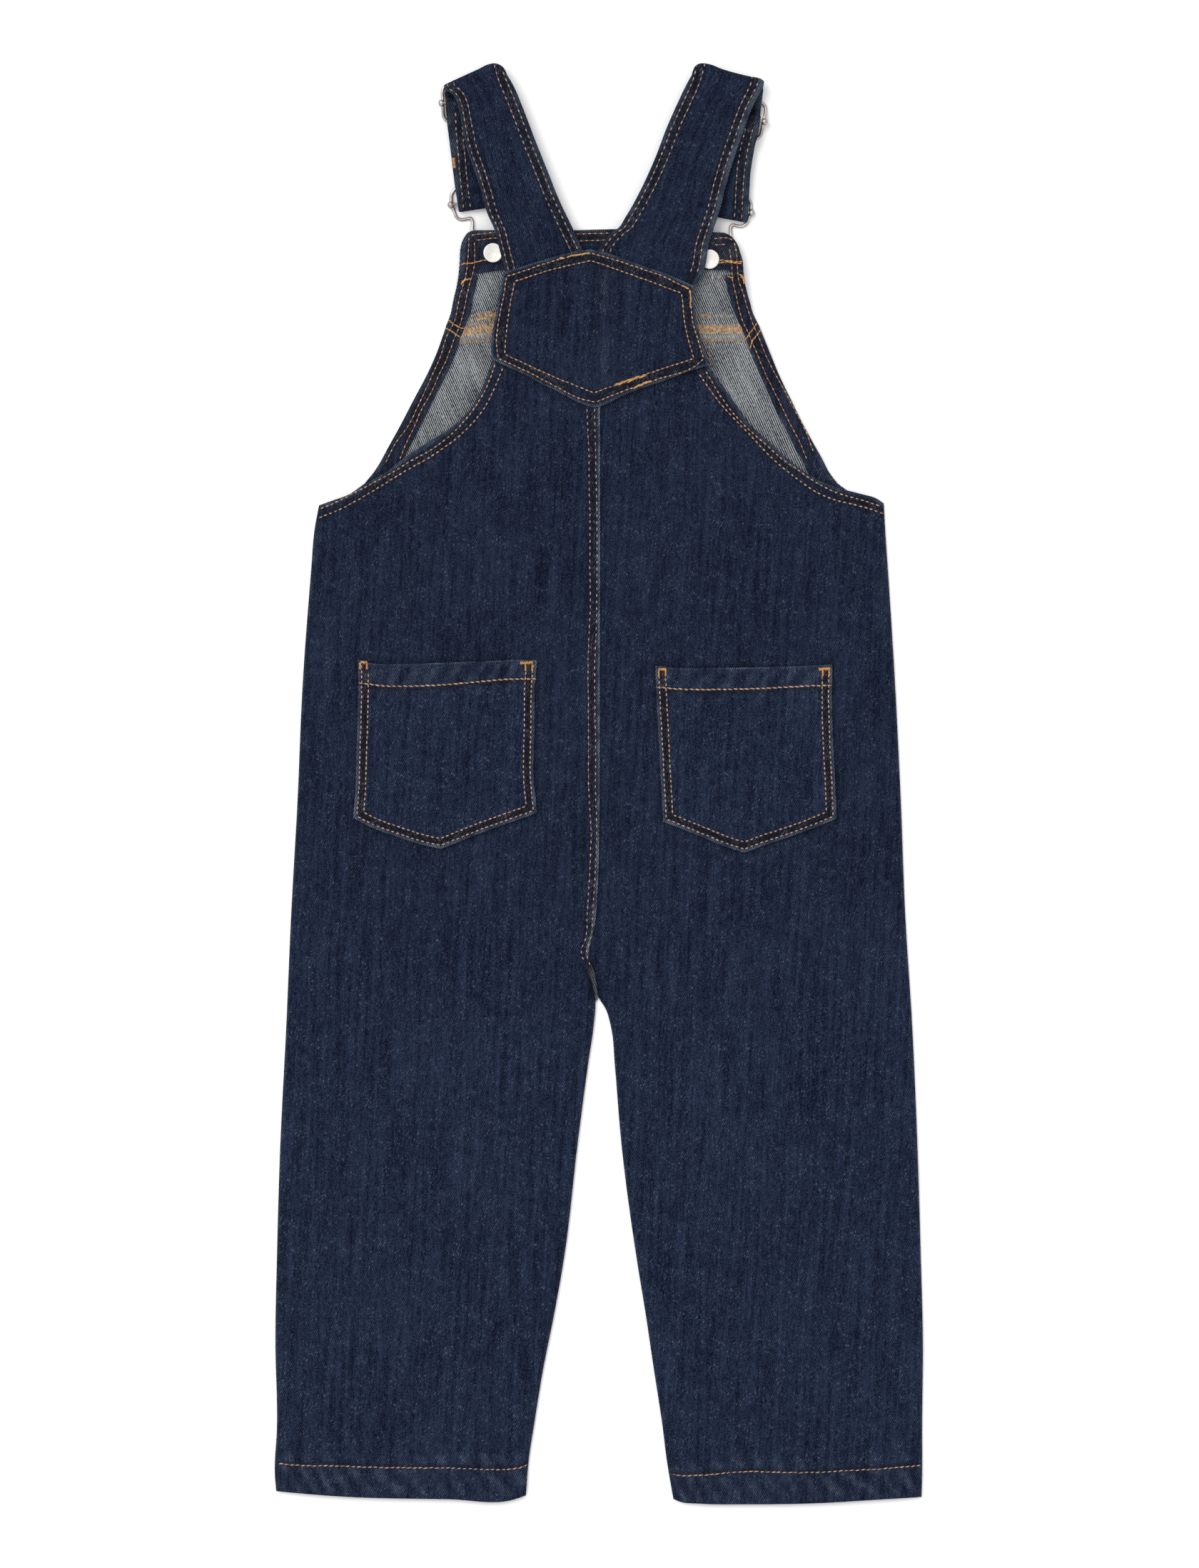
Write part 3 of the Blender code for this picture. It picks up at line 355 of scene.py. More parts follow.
golden_thread = thread("golden thread", (0.13, 0.052, 0.03), (0.56, 0.37, 0.225))
faded_thread = thread("faded golden thread", (0.085, 0.042, 0.034), (0.41, 0.315, 0.275))
orange_thread = thread("orange thread", (0.26, 0.10, 0.03), (0.58, 0.31, 0.10))
white_thread = thread("raw thread", (0.22, 0.22, 0.22), (0.6, 0.6, 0.6))
wire_metal = metal("plated wire", (0.40, 0.35, 0.335), (0.60, 0.54, 0.52), (0.11, 0.078, 0.07), 0.30,
                   painted_side_shade=0.9)
disc_metal = metal("bright disc", (0.70, 0.69, 0.645), (0.77, 0.76, 0.72), (0.56, 0.53, 0.49), 0.55)
print("made", *[made.name for made in (golden_thread, faded_thread, orange_thread, white_thread, wire_metal,
                                       disc_metal)])

# %% The table
bm = bmesh.new()
bmesh.ops.create_grid(bm, x_segments=1, y_segments=1, size=6.0)
table_mesh = bpy.data.meshes.new("table")
bm.to_mesh(table_mesh)
bm.free()
table = bpy.data.objects.new("table", table_mesh)
bpy.context.scene.collection.objects.link(table)
paper = Finish("white paper", Roughness=0.9, Specular_IOR_Level=0.1)
paper_spots = paper.noise(paper.node("TexCoord", {}, {}, "Object"), (9.0, 9.0, 9.0), detail=3.0)
paper.show(Base_Color=paper.blend(paper_spots, (0.93, 0.93, 0.93, 1.0), (0.96, 0.96, 0.96, 1.0)))
table_mesh.materials.append(paper.material)

# %% [markdown]
# ## Lines on the cutting table
#
# Every edge, seam and row of stitches is a smooth line through a few measured points. A Line knows the place at any
# share of its length, and how far any place is from it. That distance decides most of what follows: how the cloth
# rolls over at an edge, where it is worn and where the stitches run.

# %% Lines


class Line:
    """A smooth line through a few (across, up) points."""

    def __init__(self, points, steps=8):
        p = np.array(points, float)
        travel = np.concatenate(([0.0], np.cumsum(np.hypot(*np.diff(p, axis=0).T))))
        slope = np.gradient(p, travel, axis=0)
        s = np.linspace(0, 1, steps + 1)[1:, None]
        found = [p[:1]]
        for i, span in enumerate(np.diff(travel)):
            found.append((1 + 2 * s) * (1 - s) ** 2 * p[i] + s * (1 - s) ** 2 * span * slope[i]
                         + s * s * (3 - 2 * s) * p[i + 1] + s * s * (s - 1) * span * slope[i + 1])
        self.points = np.concatenate(found)
        self.travel = np.concatenate(([0.0], np.cumsum(np.hypot(*np.diff(self.points, axis=0).T))))
        self.length = self.travel[-1]

    def at(self, share):
        """Across and up at shares of the length."""
        gone = np.asarray(share) * self.length
        return np.stack([np.interp(gone, self.travel, self.points[:, 0]),
                         np.interp(gone, self.travel, self.points[:, 1])])

    def across(self, up):
        order = np.argsort(self.points[:, 1], kind="stable")
        return np.interp(up, self.points[order, 1], self.points[order, 0])

    def up(self, across):
        order = np.argsort(self.points[:, 0], kind="stable")
        return np.interp(across, self.points[order, 0], self.points[order, 1])

    def distance(self, across, up):
        """How far each place is from the line."""
        across, up = np.broadcast_arrays(np.asarray(across, float), np.asarray(up, float))
        best = np.full(across.shape, 1e9)
        for (x0, y0), (x1, y1) in zip(self.points[:-1], self.points[1:]):
            dx, dy = x1 - x0, y1 - y0
            t = np.clip(((across - x0) * dx + (up - y0) * dy) / (dx * dx + dy * dy + 1e-12), 0, 1)
            best = np.minimum(best, np.hypot(across - x0 - t * dx, up - y0 - t * dy))
        return best


def nearest(lines, across, up):
    """Distance to the nearest of several lines."""
    return np.min([line.distance(across, up) for line in lines], axis=0)


def smooth_step(t):
    """From 0 to 1 with soft ends."""
    t = np.clip(t, 0, 1)
    return t * t * (3 - 2 * t)


def soft_stop(t):
    """From 0 to 1 with a quick start and a soft end."""
    return 1 - (1 - np.clip(t, 0, 1)) ** 2


def around(distance, width):
    """1 on a line, falling to 0 at about twice the width from it."""
    return np.exp(-(distance / width) ** 2)


def inset(runs, depth):
    """The lines that run at a depth inside an outline, whose runs go round it against the clock."""
    outline, found = [Line(run) for run in runs], []
    for line in outline:
        share = np.linspace(0, 1, 160)
        across, up = line.at(share)
        dx, dy = np.gradient(across), np.gradient(up)
        size = np.hypot(dx, dy)
        across, up = across - dy / size * depth, up + dx / size * depth
        inside = nearest(outline, across, up) > depth - 0.06
        found.append(np.stack([across[inside], up[inside]], axis=1))
    return found

# %% [markdown]
# ## How high the cloth lies
#
# The front lies on the table. The back stands a few millimetres off it in the middle and comes down to it at the
# side folds. Under the bib are the button caps, which lift bib, back and yoke a little. On top of that come the soft
# marks of wear: broad low waves and a few listed creases. Everything that is sewn on the back is laid on
# this same sum, so pockets and stitches follow every wave of the cloth below.

# %% Edges of the body, and the layers' heights
CLOTH = 1.1                 # one layer of denim
GAP = 0.3                   # between pieces that lie on each other
LOFT, LOFT_REACH = 3.0, 25.0    # how high the back stands off, and how far in from its folds it reaches that
FRONT_LIFT, BACK_LIFT = 4.1, 3.8        # over the buttons
BUTTONS = ((-55.1, 648.2), (57.0, 644.9))
CROTCH = (-1.5, 262.8)
CROTCH_SHADE_UP = 272       # the middle of the shade round the crotch

LEFT_SIDE = ((-167.6, 6.7), (-168.3, 15.9), (-167.2, 39.6), (-168.0, 84.0), (-167.2, 128.4), (-165.4, 187.6),
             (-162.4, 246.8), (-159.8, 306.0), (-156.5, 365.2), (-153.9, 424.4), (-149.5, 483.6),
             (-147.6, 505.8), (-145.4, 517.6))
RIGHT_SIDE = ((166.9, 3.7), (167.2, 15.9), (167.2, 39.6), (167.6, 84.0), (166.5, 128.4), (164.7, 187.6),
              (162.1, 246.8), (158.4, 306.0), (156.1, 365.2), (153.2, 424.4), (149.5, 483.6),
              (148.0, 505.8), (147.3, 518.7))
LEFT_INSEAM = ((-38.0, 4.5), (-36.3, 24.8), (-34.0, 39.6), (-29.2, 69.2), (-23.3, 98.8), (-18.1, 128.4),
               (-11.1, 187.6), (-5.2, 232.0), (-3.0, 246.8), (-2.2, 262.8), (-3.9, 270.5), (-6.3, 277.9))
RIGHT_INSEAM = ((38.1, 2.6), (34.4, 24.8), (32.6, 39.6), (28.1, 69.2), (23.7, 98.8), (18.9, 128.4),
                (11.1, 187.6), (7.8, 227.2), (5.9, 246.8), (3.0, 256.8), (-0.7, 262.8), (-1.8, 270.5),
                (-3.4, 277.9))
CENTRE_SEAM = ((-4.4, 281.0), (-5.5, 284.5), (-4.4, 291.2), (-2.6, 298.6), (-0.7, 320.8), (0.0, 350.4),
               (0.2, 409.6), (0.4, 483.6), (0.4, 568.3), (0.4, 622.0))
left_side, right_side, left_inseam, right_inseam = map(Line, (LEFT_SIDE, RIGHT_SIDE, LEFT_INSEAM, RIGHT_INSEAM))


def over_buttons(across, up):
    """1 over both buttons, falling to 0 around them."""
    away = [np.hypot(across - x, up - y) for x, y in BUTTONS]
    return np.minimum(smooth_step((42 - away[0]) / 30) + smooth_step((42 - away[1]) / 30), 1.0)


def front_floor(across, up):
    """Underside of front and bib."""
    return FRONT_LIFT * over_buttons(across, up)


def back_floor(across, up):
    """Underside of the back and of the strap ends beside it."""
    left = across < CROTCH[0]
    from_side = np.abs(np.where(left, across - left_side.across(up), right_side.across(up) - across))
    from_inseam = np.where(up < CROTCH[1],
                           np.abs(across - np.where(left, left_inseam.across(up), right_inseam.across(up))),
                           np.hypot(across - CROTCH[0], up - CROTCH[1]))
    loft = LOFT * soft_stop(from_side / LOFT_REACH) * soft_stop(from_inseam / LOFT_REACH)
    loft = loft * (0.5 + 0.5 * smooth_step(up / 50))
    return CLOTH + GAP + loft + BACK_LIFT * over_buttons(across, up)


# %% Waves and creases
# Each crease goes from one place to another: across, up, across, up, half width and height (negative is a trough)
CREASES = (
    (8, 330, 86, 276, 9, 0.55), (20, 318, 96, 262, 6, -0.4), (10, 300, 62, 262, 6, 0.35),
    (-112, 180, -52, 246, 9, 0.5), (-98, 172, -44, 232, 6, -0.35), (-60, 214, -20, 262, 5, 0.3),
    (-130, 120, -96, 215, 10, 0.4), (-70, 66, -58, 190, 8, -0.35), (96, 90, 108, 236, 10, 0.45),
    (126, 70, 138, 200, 7, -0.3), (60, 60, 72, 150, 8, 0.35), (-140, 250, -100, 300, 8, -0.35),
    (-132, 452, -60, 520, 11, -0.5), (-110, 470, -30, 545, 8, 0.35), (60, 468, 132, 500, 12, 0.5),
    (30, 500, 96, 536, 9, -0.4), (-20, 330, -70, 300, 8, 0.3), (100, 300, 150, 268, 9, -0.35),
    (-150, 330, -118, 348, 7, 0.3), (20, 232, 44, 130, 7, 0.3), (-30, 150, -46, 70, 7, 0.3),
)
wave_dice = random.Random(11)
WAVES = [(wave_dice.uniform(0, math.pi), wave_dice.uniform(38, 120), wave_dice.uniform(0, 2 * math.pi),
          wave_dice.uniform(0.07, 0.17)) for _ in range(9)]


def relief(across, up):
    """Waves and creases of the back's cloth; they end below the yoke and straps."""
    height = sum(a * np.sin((across * math.cos(t) + up * math.sin(t)) * 2 * math.pi / w + p) for t, w, p, a in WAVES)
    for x0, y0, x1, y1, width, crest in CREASES:
        height = height + crest * around(Line(((x0, y0), (x1, y1)), 1).distance(across, up), width)
    return height * smooth_step((568 - up) / 30) * smooth_step((up + 4) / 24)


def back_top(across, up):
    return back_floor(across, up) + CLOTH + relief(across, up)


print("the back lies", round(float(back_top(-60.0, 300.0)), 2), "mm high in the middle of the seat")

# %% [markdown]
# ## Making a piece of cloth
#
# Each piece starts as bmesh's plain grid and is moved into its shape by a sum, in the way that a paper pattern is
# pinned out. The grid's lines lie close together near edges, where cloth rolls over and seams run, and far apart in
# the middle. Solidify then gives the sheet its thickness downwards, with the cloth's other side on its underside.
# The cloth's own map, "weave", is flat on the cutting table in metres, so that the twill keeps its scale everywhere.

# %% Cloth from a grid
EDGE_BAND = (0, 0.3, 0.8, 1.5, 2.3, 3.1, 3.9, 4.8, 5.8, 7.0, 8.5)      # the grid's lines, in from an edge
EDGE_ROWS = (1.8, 5.2)      # the twin rows round a pocket, in from its edge


def spread(length, step):
    """Shares of a length, close together at its ends."""
    start, end = EDGE_BAND, [length - b for b in EDGE_BAND[::-1]]
    count = max(2, round((end[0] - start[-1]) / step) + 1)
    return np.array([*start, *np.linspace(start[-1], end[0], count)[1:-1], *end]) / length


def new_piece(name, mesh, cad_nodes, slot, *finishes):
    """An object for a finished mesh, which rides with the garment and stands for its plain solids, if it has any."""
    for finish in finishes:
        mesh.materials.append(finish)
    piece = bpy.data.objects.new(name, mesh)
    bpy.context.scene.collection.objects.link(piece)
    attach(piece, "root")
    if cad_nodes:
        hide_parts(*cad_nodes)
    return piece


def cloth(name, us, vs, surface, wall, cad_nodes, slot, finishes, offset=-1.0, marks={}):
    """surface(u, v) gives arrays of across, up, height, then wear, shade, and the map's across and up. Further
    marks are given as functions of across and up."""
    bm = bmesh.new()
    bmesh.ops.create_grid(bm, x_segments=len(us) - 1, y_segments=len(vs) - 1, size=1.0)
    plan = np.array([v.co for v in bm.verts])
    columns = np.rint((plan[:, 0] + 1) / 2 * (len(us) - 1)).astype(int)
    rows = np.rint((plan[:, 1] + 1) / 2 * (len(vs) - 1)).astype(int)
    across, up, height, wear, shade, map_across, map_up = np.broadcast_arrays(*surface(us[columns], vs[rows]))
    for v, place in zip(bm.verts, world(across, up, height)):
        v.co = place
    weave = bm.loops.layers.uv.new("weave")
    for face in bm.faces:
        face.smooth = True
        for corner in face.loops:
            i = corner.vert.index
            corner[weave].uv = (map_across[i] * MM, map_up[i] * MM)
    for edge in bm.edges:
        edge.smooth = not edge.is_boundary
    bm.normal_update()
    mesh = bpy.data.meshes.new(name)
    bm.to_mesh(mesh)
    bm.free()
    for mark, values in (("wear", wear), ("shade", shade), *((m, f(across, up)) for m, f in marks.items())):
        mesh.attributes.new(mark, "FLOAT", "POINT").data.foreach_set("value", values.astype(np.float32))
    piece = new_piece(name, mesh, cad_nodes, slot, *finishes)
    thick = piece.modifiers.new("thickness", "SOLIDIFY")
    thick.thickness = wall * MM
    thick.offset = offset
    thick.material_offset = len(finishes) - 1
    print(name, len(us) - 1, "by", len(vs) - 1, "faces")
    return piece


def joined(runs):
    """One side of an outline from its runs; each takes an equal share, so that corners fall on grid lines."""
    lines = [Line(run) for run in runs]

    def at(share):
        turn = np.clip(np.floor(share * len(lines)), 0, len(lines) - 1)
        found = [line.at(share * len(lines) - i) for i, line in enumerate(lines)]
        return np.select([turn == i for i in range(len(lines))], found)
    return at


def patch(bottom, top, left, right):
    """Places between four sides, as shares u and v of them."""
    c00, c10, c01, c11 = (side(np.array([share])) for side, share in
                          ((bottom, 0.0), (bottom, 1.0), (top, 0.0), (top, 1.0)))

    def place(u, v):
        ruled = (1 - v) * bottom(u) + v * top(u) + (1 - u) * left(v) + u * right(v)
        return ruled - ((1 - u) * (1 - v) * c00 + u * (1 - v) * c10 + (1 - u) * v * c01 + u * v * c11)
    return place


def rolled(distance, height, edge_height, radius):
    """Height of cloth that rolls over at an edge."""
    return edge_height + (height - edge_height) * np.sqrt(1 - (1 - np.clip(distance / radius, 0, 1)) ** 2)


def edging(distance):
    """Wear and shade beside a sewn edge: worn up to the outer row, dark between the twin rows."""
    outer, inner = EDGE_ROWS
    wear = smooth_step((outer - distance) / 0.9)
    shade = smooth_step((distance - outer + 0.2) / 0.8) * smooth_step((inner + 0.2 - distance) / 0.8)
    return wear, shade


def between(a, b, gap):
    """1 between two lines that run a gap apart, from the distances to both."""
    return smooth_step((gap + 1.0 - a - b) / 0.9)


def under_rows(to_outer, to_inner, gap):
    """Shade of the strip between twin rows, and of the dents that their stitches pull."""
    dents = around(to_outer, 1.1) + around(to_inner, 1.1)
    return np.maximum(0.88 * between(to_outer, to_inner, gap), 0.8 * np.minimum(dents, 1.0))


# %% [markdown]
# ## The back, left and right
#
# Each half of the back is one panel, from the hem up over the seat to the armhole and under the yoke. Its pattern
# has four sides: the hem, the side fold, the inside leg with the centre seam, and the armhole. The grid is stretched
# between those four, so its lines run along every edge that gets sewn. At the side and inside leg the cloth rolls
# over to the front. At the armhole it is turned under and stitched twice. At the centre the left half lies over the
# right, folded, with two rows of stitches beside the fold. The leg's hem is turned up, and because it was sewn on
# the slant it pulls into small slanting puckers.

# %% Back panels
LEFT_ARMHOLE = ((-145.4, 517.6), (-138.0, 520.2), (-130.6, 522.8), (-119.5, 529.5), (-109.9, 535.4),
                (-99.2, 543.5), (-88.1, 550.6), (-76.2, 558.3), (-65.5, 569.1), (-59.2, 581.6),
                (-55.3, 592.7), (-51.5, 605.0), (-48.0, 621.6))
RIGHT_ARMHOLE = ((147.3, 518.7), (143.2, 521.3), (135.4, 523.5), (124.0, 526.5), (112.5, 531.0),
                 (101.4, 538.4), (89.9, 548.7), (77.7, 559.8), (71.8, 568.0), (62.2, 581.6),
                 (56.0, 590.1), (50.5, 602.0), (46.5, 621.6))
LEFT_HEM = ((-167.6, 6.7), (-150.0, 5.2), (-135.0, 4.1), (-77.3, 2.6), (-45.0, 2.2), (-38.0, 4.5))
RIGHT_HEM = ((38.1, 2.6), (42.2, 1.1), (52.0, 0.3), (76.6, 0.0), (116.2, 0.7), (141.0, 2.2), (166.9, 3.7))
LEFT_HEM_ROW = ((-166.4, 21.2), (-154.7, 20.2), (-135.1, 20.0), (-115.8, 19.2), (-96.6, 18.9), (-77.3, 18.9),
                (-57.7, 18.1), (-43.3, 18.5), (-37.0, 20.4))
RIGHT_HEM_ROW = ((36.6, 15.5), (44.0, 14.8), (57.0, 15.5), (76.6, 17.0), (96.6, 16.6), (111.4, 16.6),
                 (126.2, 17.4), (146.2, 18.5), (166.8, 20.0))
YOKE = dict(
    bottom=(((-55.9, 593.1), (-51.8, 591.2), (-44.4, 587.7), (-37.0, 584.3), (-29.6, 580.0), (-22.2, 576.7),
             (-14.8, 572.7), (-7.4, 569.3), (-2.6, 568.1)),
            ((-2.6, 568.1), (3.7, 569.9), (11.1, 573.8), (17.0, 576.3), (23.3, 578.5), (33.3, 581.9),
             (41.8, 585.1), (49.0, 587.6), (56.6, 590.1))),
    right=(((56.6, 590.1), (55.5, 594.6), (51.8, 605.7), (49.6, 616.8), (48.8, 630.9)),),
    top=(((48.8, 630.9), (33.3, 637.6), (24.1, 640.8), (0.0, 649.0), (-4.4, 649.9)),
         ((-4.4, 649.9), (-9.2, 649.4), (-29.6, 644.2), (-49.6, 637.9))),
    left=(((-49.6, 637.9), (-50.7, 633.4), (-53.6, 616.8), (-55.9, 603.8), (-56.2, 598.3), (-55.9, 593.1)),),
)
LEFT_POCKET = dict(
    bottom=(((-127.6, 355.6), (-119.1, 351.1), (-105.1, 345.9), (-90.7, 341.4), (-82.1, 339.6)),
            ((-82.1, 339.6), (-72.9, 343.2), (-62.5, 347.4), (-48.1, 352.6), (-32.2, 358.2))),
    right=(((-32.2, 358.2), (-34.0, 375.9), (-33.7, 404.0), (-33.3, 426.6), (-32.2, 437.3)),),
    top=(((-32.2, 437.3), (-41.1, 437.5), (-62.5, 436.6), (-80.0, 436.0)),
         ((-80.0, 436.0), (-105.1, 435.3), (-119.1, 435.9), (-125.1, 437.7))),
    left=(((-125.1, 437.7), (-124.9, 425.5), (-125.1, 411.1), (-125.8, 390.0), (-126.5, 368.9),
           (-127.6, 355.6)),),
)
RIGHT_POCKET = dict(
    bottom=(((32.9, 353.7), (40.3, 350.8), (51.4, 346.3), (66.2, 340.4), (75.1, 337.6)),
            ((75.1, 337.6), (84.4, 341.1), (95.5, 344.8), (109.9, 350.0), (122.8, 355.2))),
    right=(((122.8, 355.2), (122.1, 373.3), (121.0, 395.5), (120.4, 420.0), (120.6, 435.1)),),
    top=(((120.6, 435.1), (102.5, 434.2), (80.7, 433.6), (75.0, 433.5)),
         ((75.0, 433.5), (58.8, 433.3), (40.3, 433.3), (28.9, 434.5))),
    left=(((28.9, 434.5), (29.2, 424.8), (30.3, 402.6), (31.8, 373.3), (32.9, 353.7)),),
)
POCKETS = dict(left=LEFT_POCKET, right=RIGHT_POCKET)


def runs_of(shape):
    """An outline's runs, against the clock."""
    return [run for side in ("bottom", "right", "top", "left") for run in shape[side]]


def patch_of(shape):
    """A patch of an outline whose top and left runs are listed against the clock."""
    return patch(joined(shape["bottom"]), joined([run[::-1] for run in shape["top"][::-1]]),
                 joined([run[::-1] for run in shape["left"][::-1]]), joined(shape["right"]))


yoke_outline = [Line(run) for run in runs_of(YOKE)]
pocket_outlines = {side: [Line(run) for run in runs_of(shape)] for side, shape in POCKETS.items()}
LEFT_ARM_OUTER = ((-54.0, 590.9), (-57.7, 580.5), (-62.4, 571.6), (-68.3, 563.2), (-77.7, 553.4), (-87.3, 546.2),
                  (-96.9, 540.9), (-106.6, 535.0), (-117.3, 529.1), (-128.4, 523.2), (-138.0, 518.4),
                  (-145.0, 515.6))
LEFT_ARM_INNER = ((-50.0, 589.0), (-54.8, 577.2), (-60.0, 567.5), (-66.0, 559.8), (-73.6, 552.6), (-81.8, 546.5),
                  (-90.3, 540.9), (-99.2, 536.1), (-108.8, 530.2), (-117.3, 524.9), (-127.3, 519.1),
                  (-135.8, 514.8), (-145.8, 511.0))
RIGHT_ARM_OUTER = ((54.8, 587.2), (66.2, 569.1), (71.8, 562.4), (78.8, 555.4), (86.6, 548.7), (94.3, 541.7),
                   (102.5, 536.1), (111.4, 529.8), (120.6, 525.0), (126.6, 522.8), (135.4, 520.4), (145.4, 517.2))
RIGHT_ARM_INNER = ((51.4, 585.7), (61.8, 571.3), (69.6, 562.4), (77.7, 554.3), (85.5, 545.8), (94.3, 537.6),
                   (103.6, 530.3), (112.5, 524.3), (121.7, 520.3), (128.4, 518.7), (137.6, 516.4), (147.3, 513.2))
YOKE_OUTER = (((-4.4, 647.9), (-9.2, 647.5), (-20.4, 644.9), (-29.6, 642.0), (-38.9, 638.6), (-48.1, 635.7)),
              ((-48.1, 635.7), (-49.6, 626.0), (-51.8, 614.9), (-53.3, 603.8), (-52.5, 593.5)),
              ((-52.5, 593.5), (-37.0, 586.5), (-22.2, 578.7), (-9.2, 572.4), (-1.9, 570.9)),
              ((-1.9, 570.9), (12.9, 576.8), (31.4, 583.1), (50.0, 589.8), (54.0, 593.5)),
              ((54.0, 593.5), (51.1, 602.7), (48.1, 613.1), (47.0, 624.2), (46.6, 629.0)),
              ((46.6, 629.0), (40.7, 632.0), (33.3, 635.7), (24.1, 639.0), (14.8, 642.3), (0.0, 646.8),
               (-4.4, 647.9)))
YOKE_INNER = (((-4.4, 644.2), (-24.0, 639.6), (-44.0, 633.1)), ((-44.0, 633.1), (-47.6, 613.0), (-49.2, 595.7)),
              ((-49.2, 595.7), (-26.0, 585.0), (-3.0, 575.7)), ((-3.0, 575.7), (22.0, 584.6), (48.8, 593.5)),
              ((48.8, 593.5), (44.6, 609.0), (42.5, 627.1)), ((42.5, 627.1), (20.0, 635.6), (-4.4, 644.2)))
YOKE_ROWS = (YOKE_OUTER, YOKE_INNER)
SEAM_LEFT_ROW = ((-6.4, 568.3), (-6.1, 557.6), (-5.4, 542.8), (-5.4, 528.0), (-5.0, 513.2), (-5.0, 483.6),
                 (-4.7, 468.8), (-5.2, 454.0), (-5.9, 439.2), (-5.7, 409.6), (-5.7, 394.8), (-5.4, 365.2),
                 (-4.4, 350.4), (-4.7, 335.6), (-5.4, 320.8), (-6.4, 306.0), (-7.2, 293.0), (-9.4, 287.3),
                 (-9.2, 284.3), (-7.4, 280.8), (-5.9, 278.6))
SEAM_RIGHT_ROW = ((-2.6, 568.3), (-2.4, 557.6), (-2.0, 542.8), (-1.7, 528.0), (-1.3, 513.2), (-1.3, 483.6),
                  (-1.4, 468.8), (-1.7, 454.0), (-2.4, 439.2), (-2.3, 409.6), (-2.0, 394.8), (-2.0, 365.2),
                  (-1.4, 350.4), (-1.8, 335.6), (-2.6, 320.8), (-3.5, 306.0), (-4.6, 293.0), (-6.6, 287.5),
                  (-6.7, 284.5), (-5.4, 280.8), (-4.7, 278.6))
seam_rows = (Line(SEAM_LEFT_ROW), Line(SEAM_RIGHT_ROW))
ARM_ROWS = dict(left=(LEFT_ARM_OUTER, LEFT_ARM_INNER), right=(RIGHT_ARM_OUTER, RIGHT_ARM_INNER))
SEWN_RUNS = (0, 1, 2, 5)    # of a pocket's outline; the others are its mouth
POCKET_ROWS = {side: [[rows[i] for i in SEWN_RUNS] for rows in (inset(runs_of(shape), depth) for depth in EDGE_ROWS)]
               for side, shape in POCKETS.items()}

HEM_DEEP = 15.5             # of the turned-up leg hem
PUCKER_PITCH = 10.5


def puckers(along, away, reach, lean, seed):
    """Slanting pulls beside a row of stitches: along the row, and away from it into the hem."""
    drift = 1.6 * np.sin(along / 23.0 + seed) + 1.1 * np.sin(along / 9.7 + 2 * seed)
    pull = np.sin((along + drift * 2.2 - away * lean) * 2 * np.pi / PUCKER_PITCH)
    size = 0.75 + 0.35 * np.sin(along / 17.0 + 3 * seed)
    return pull * size * smooth_step(away / 3.0) * smooth_step((reach - away) / 4.0)


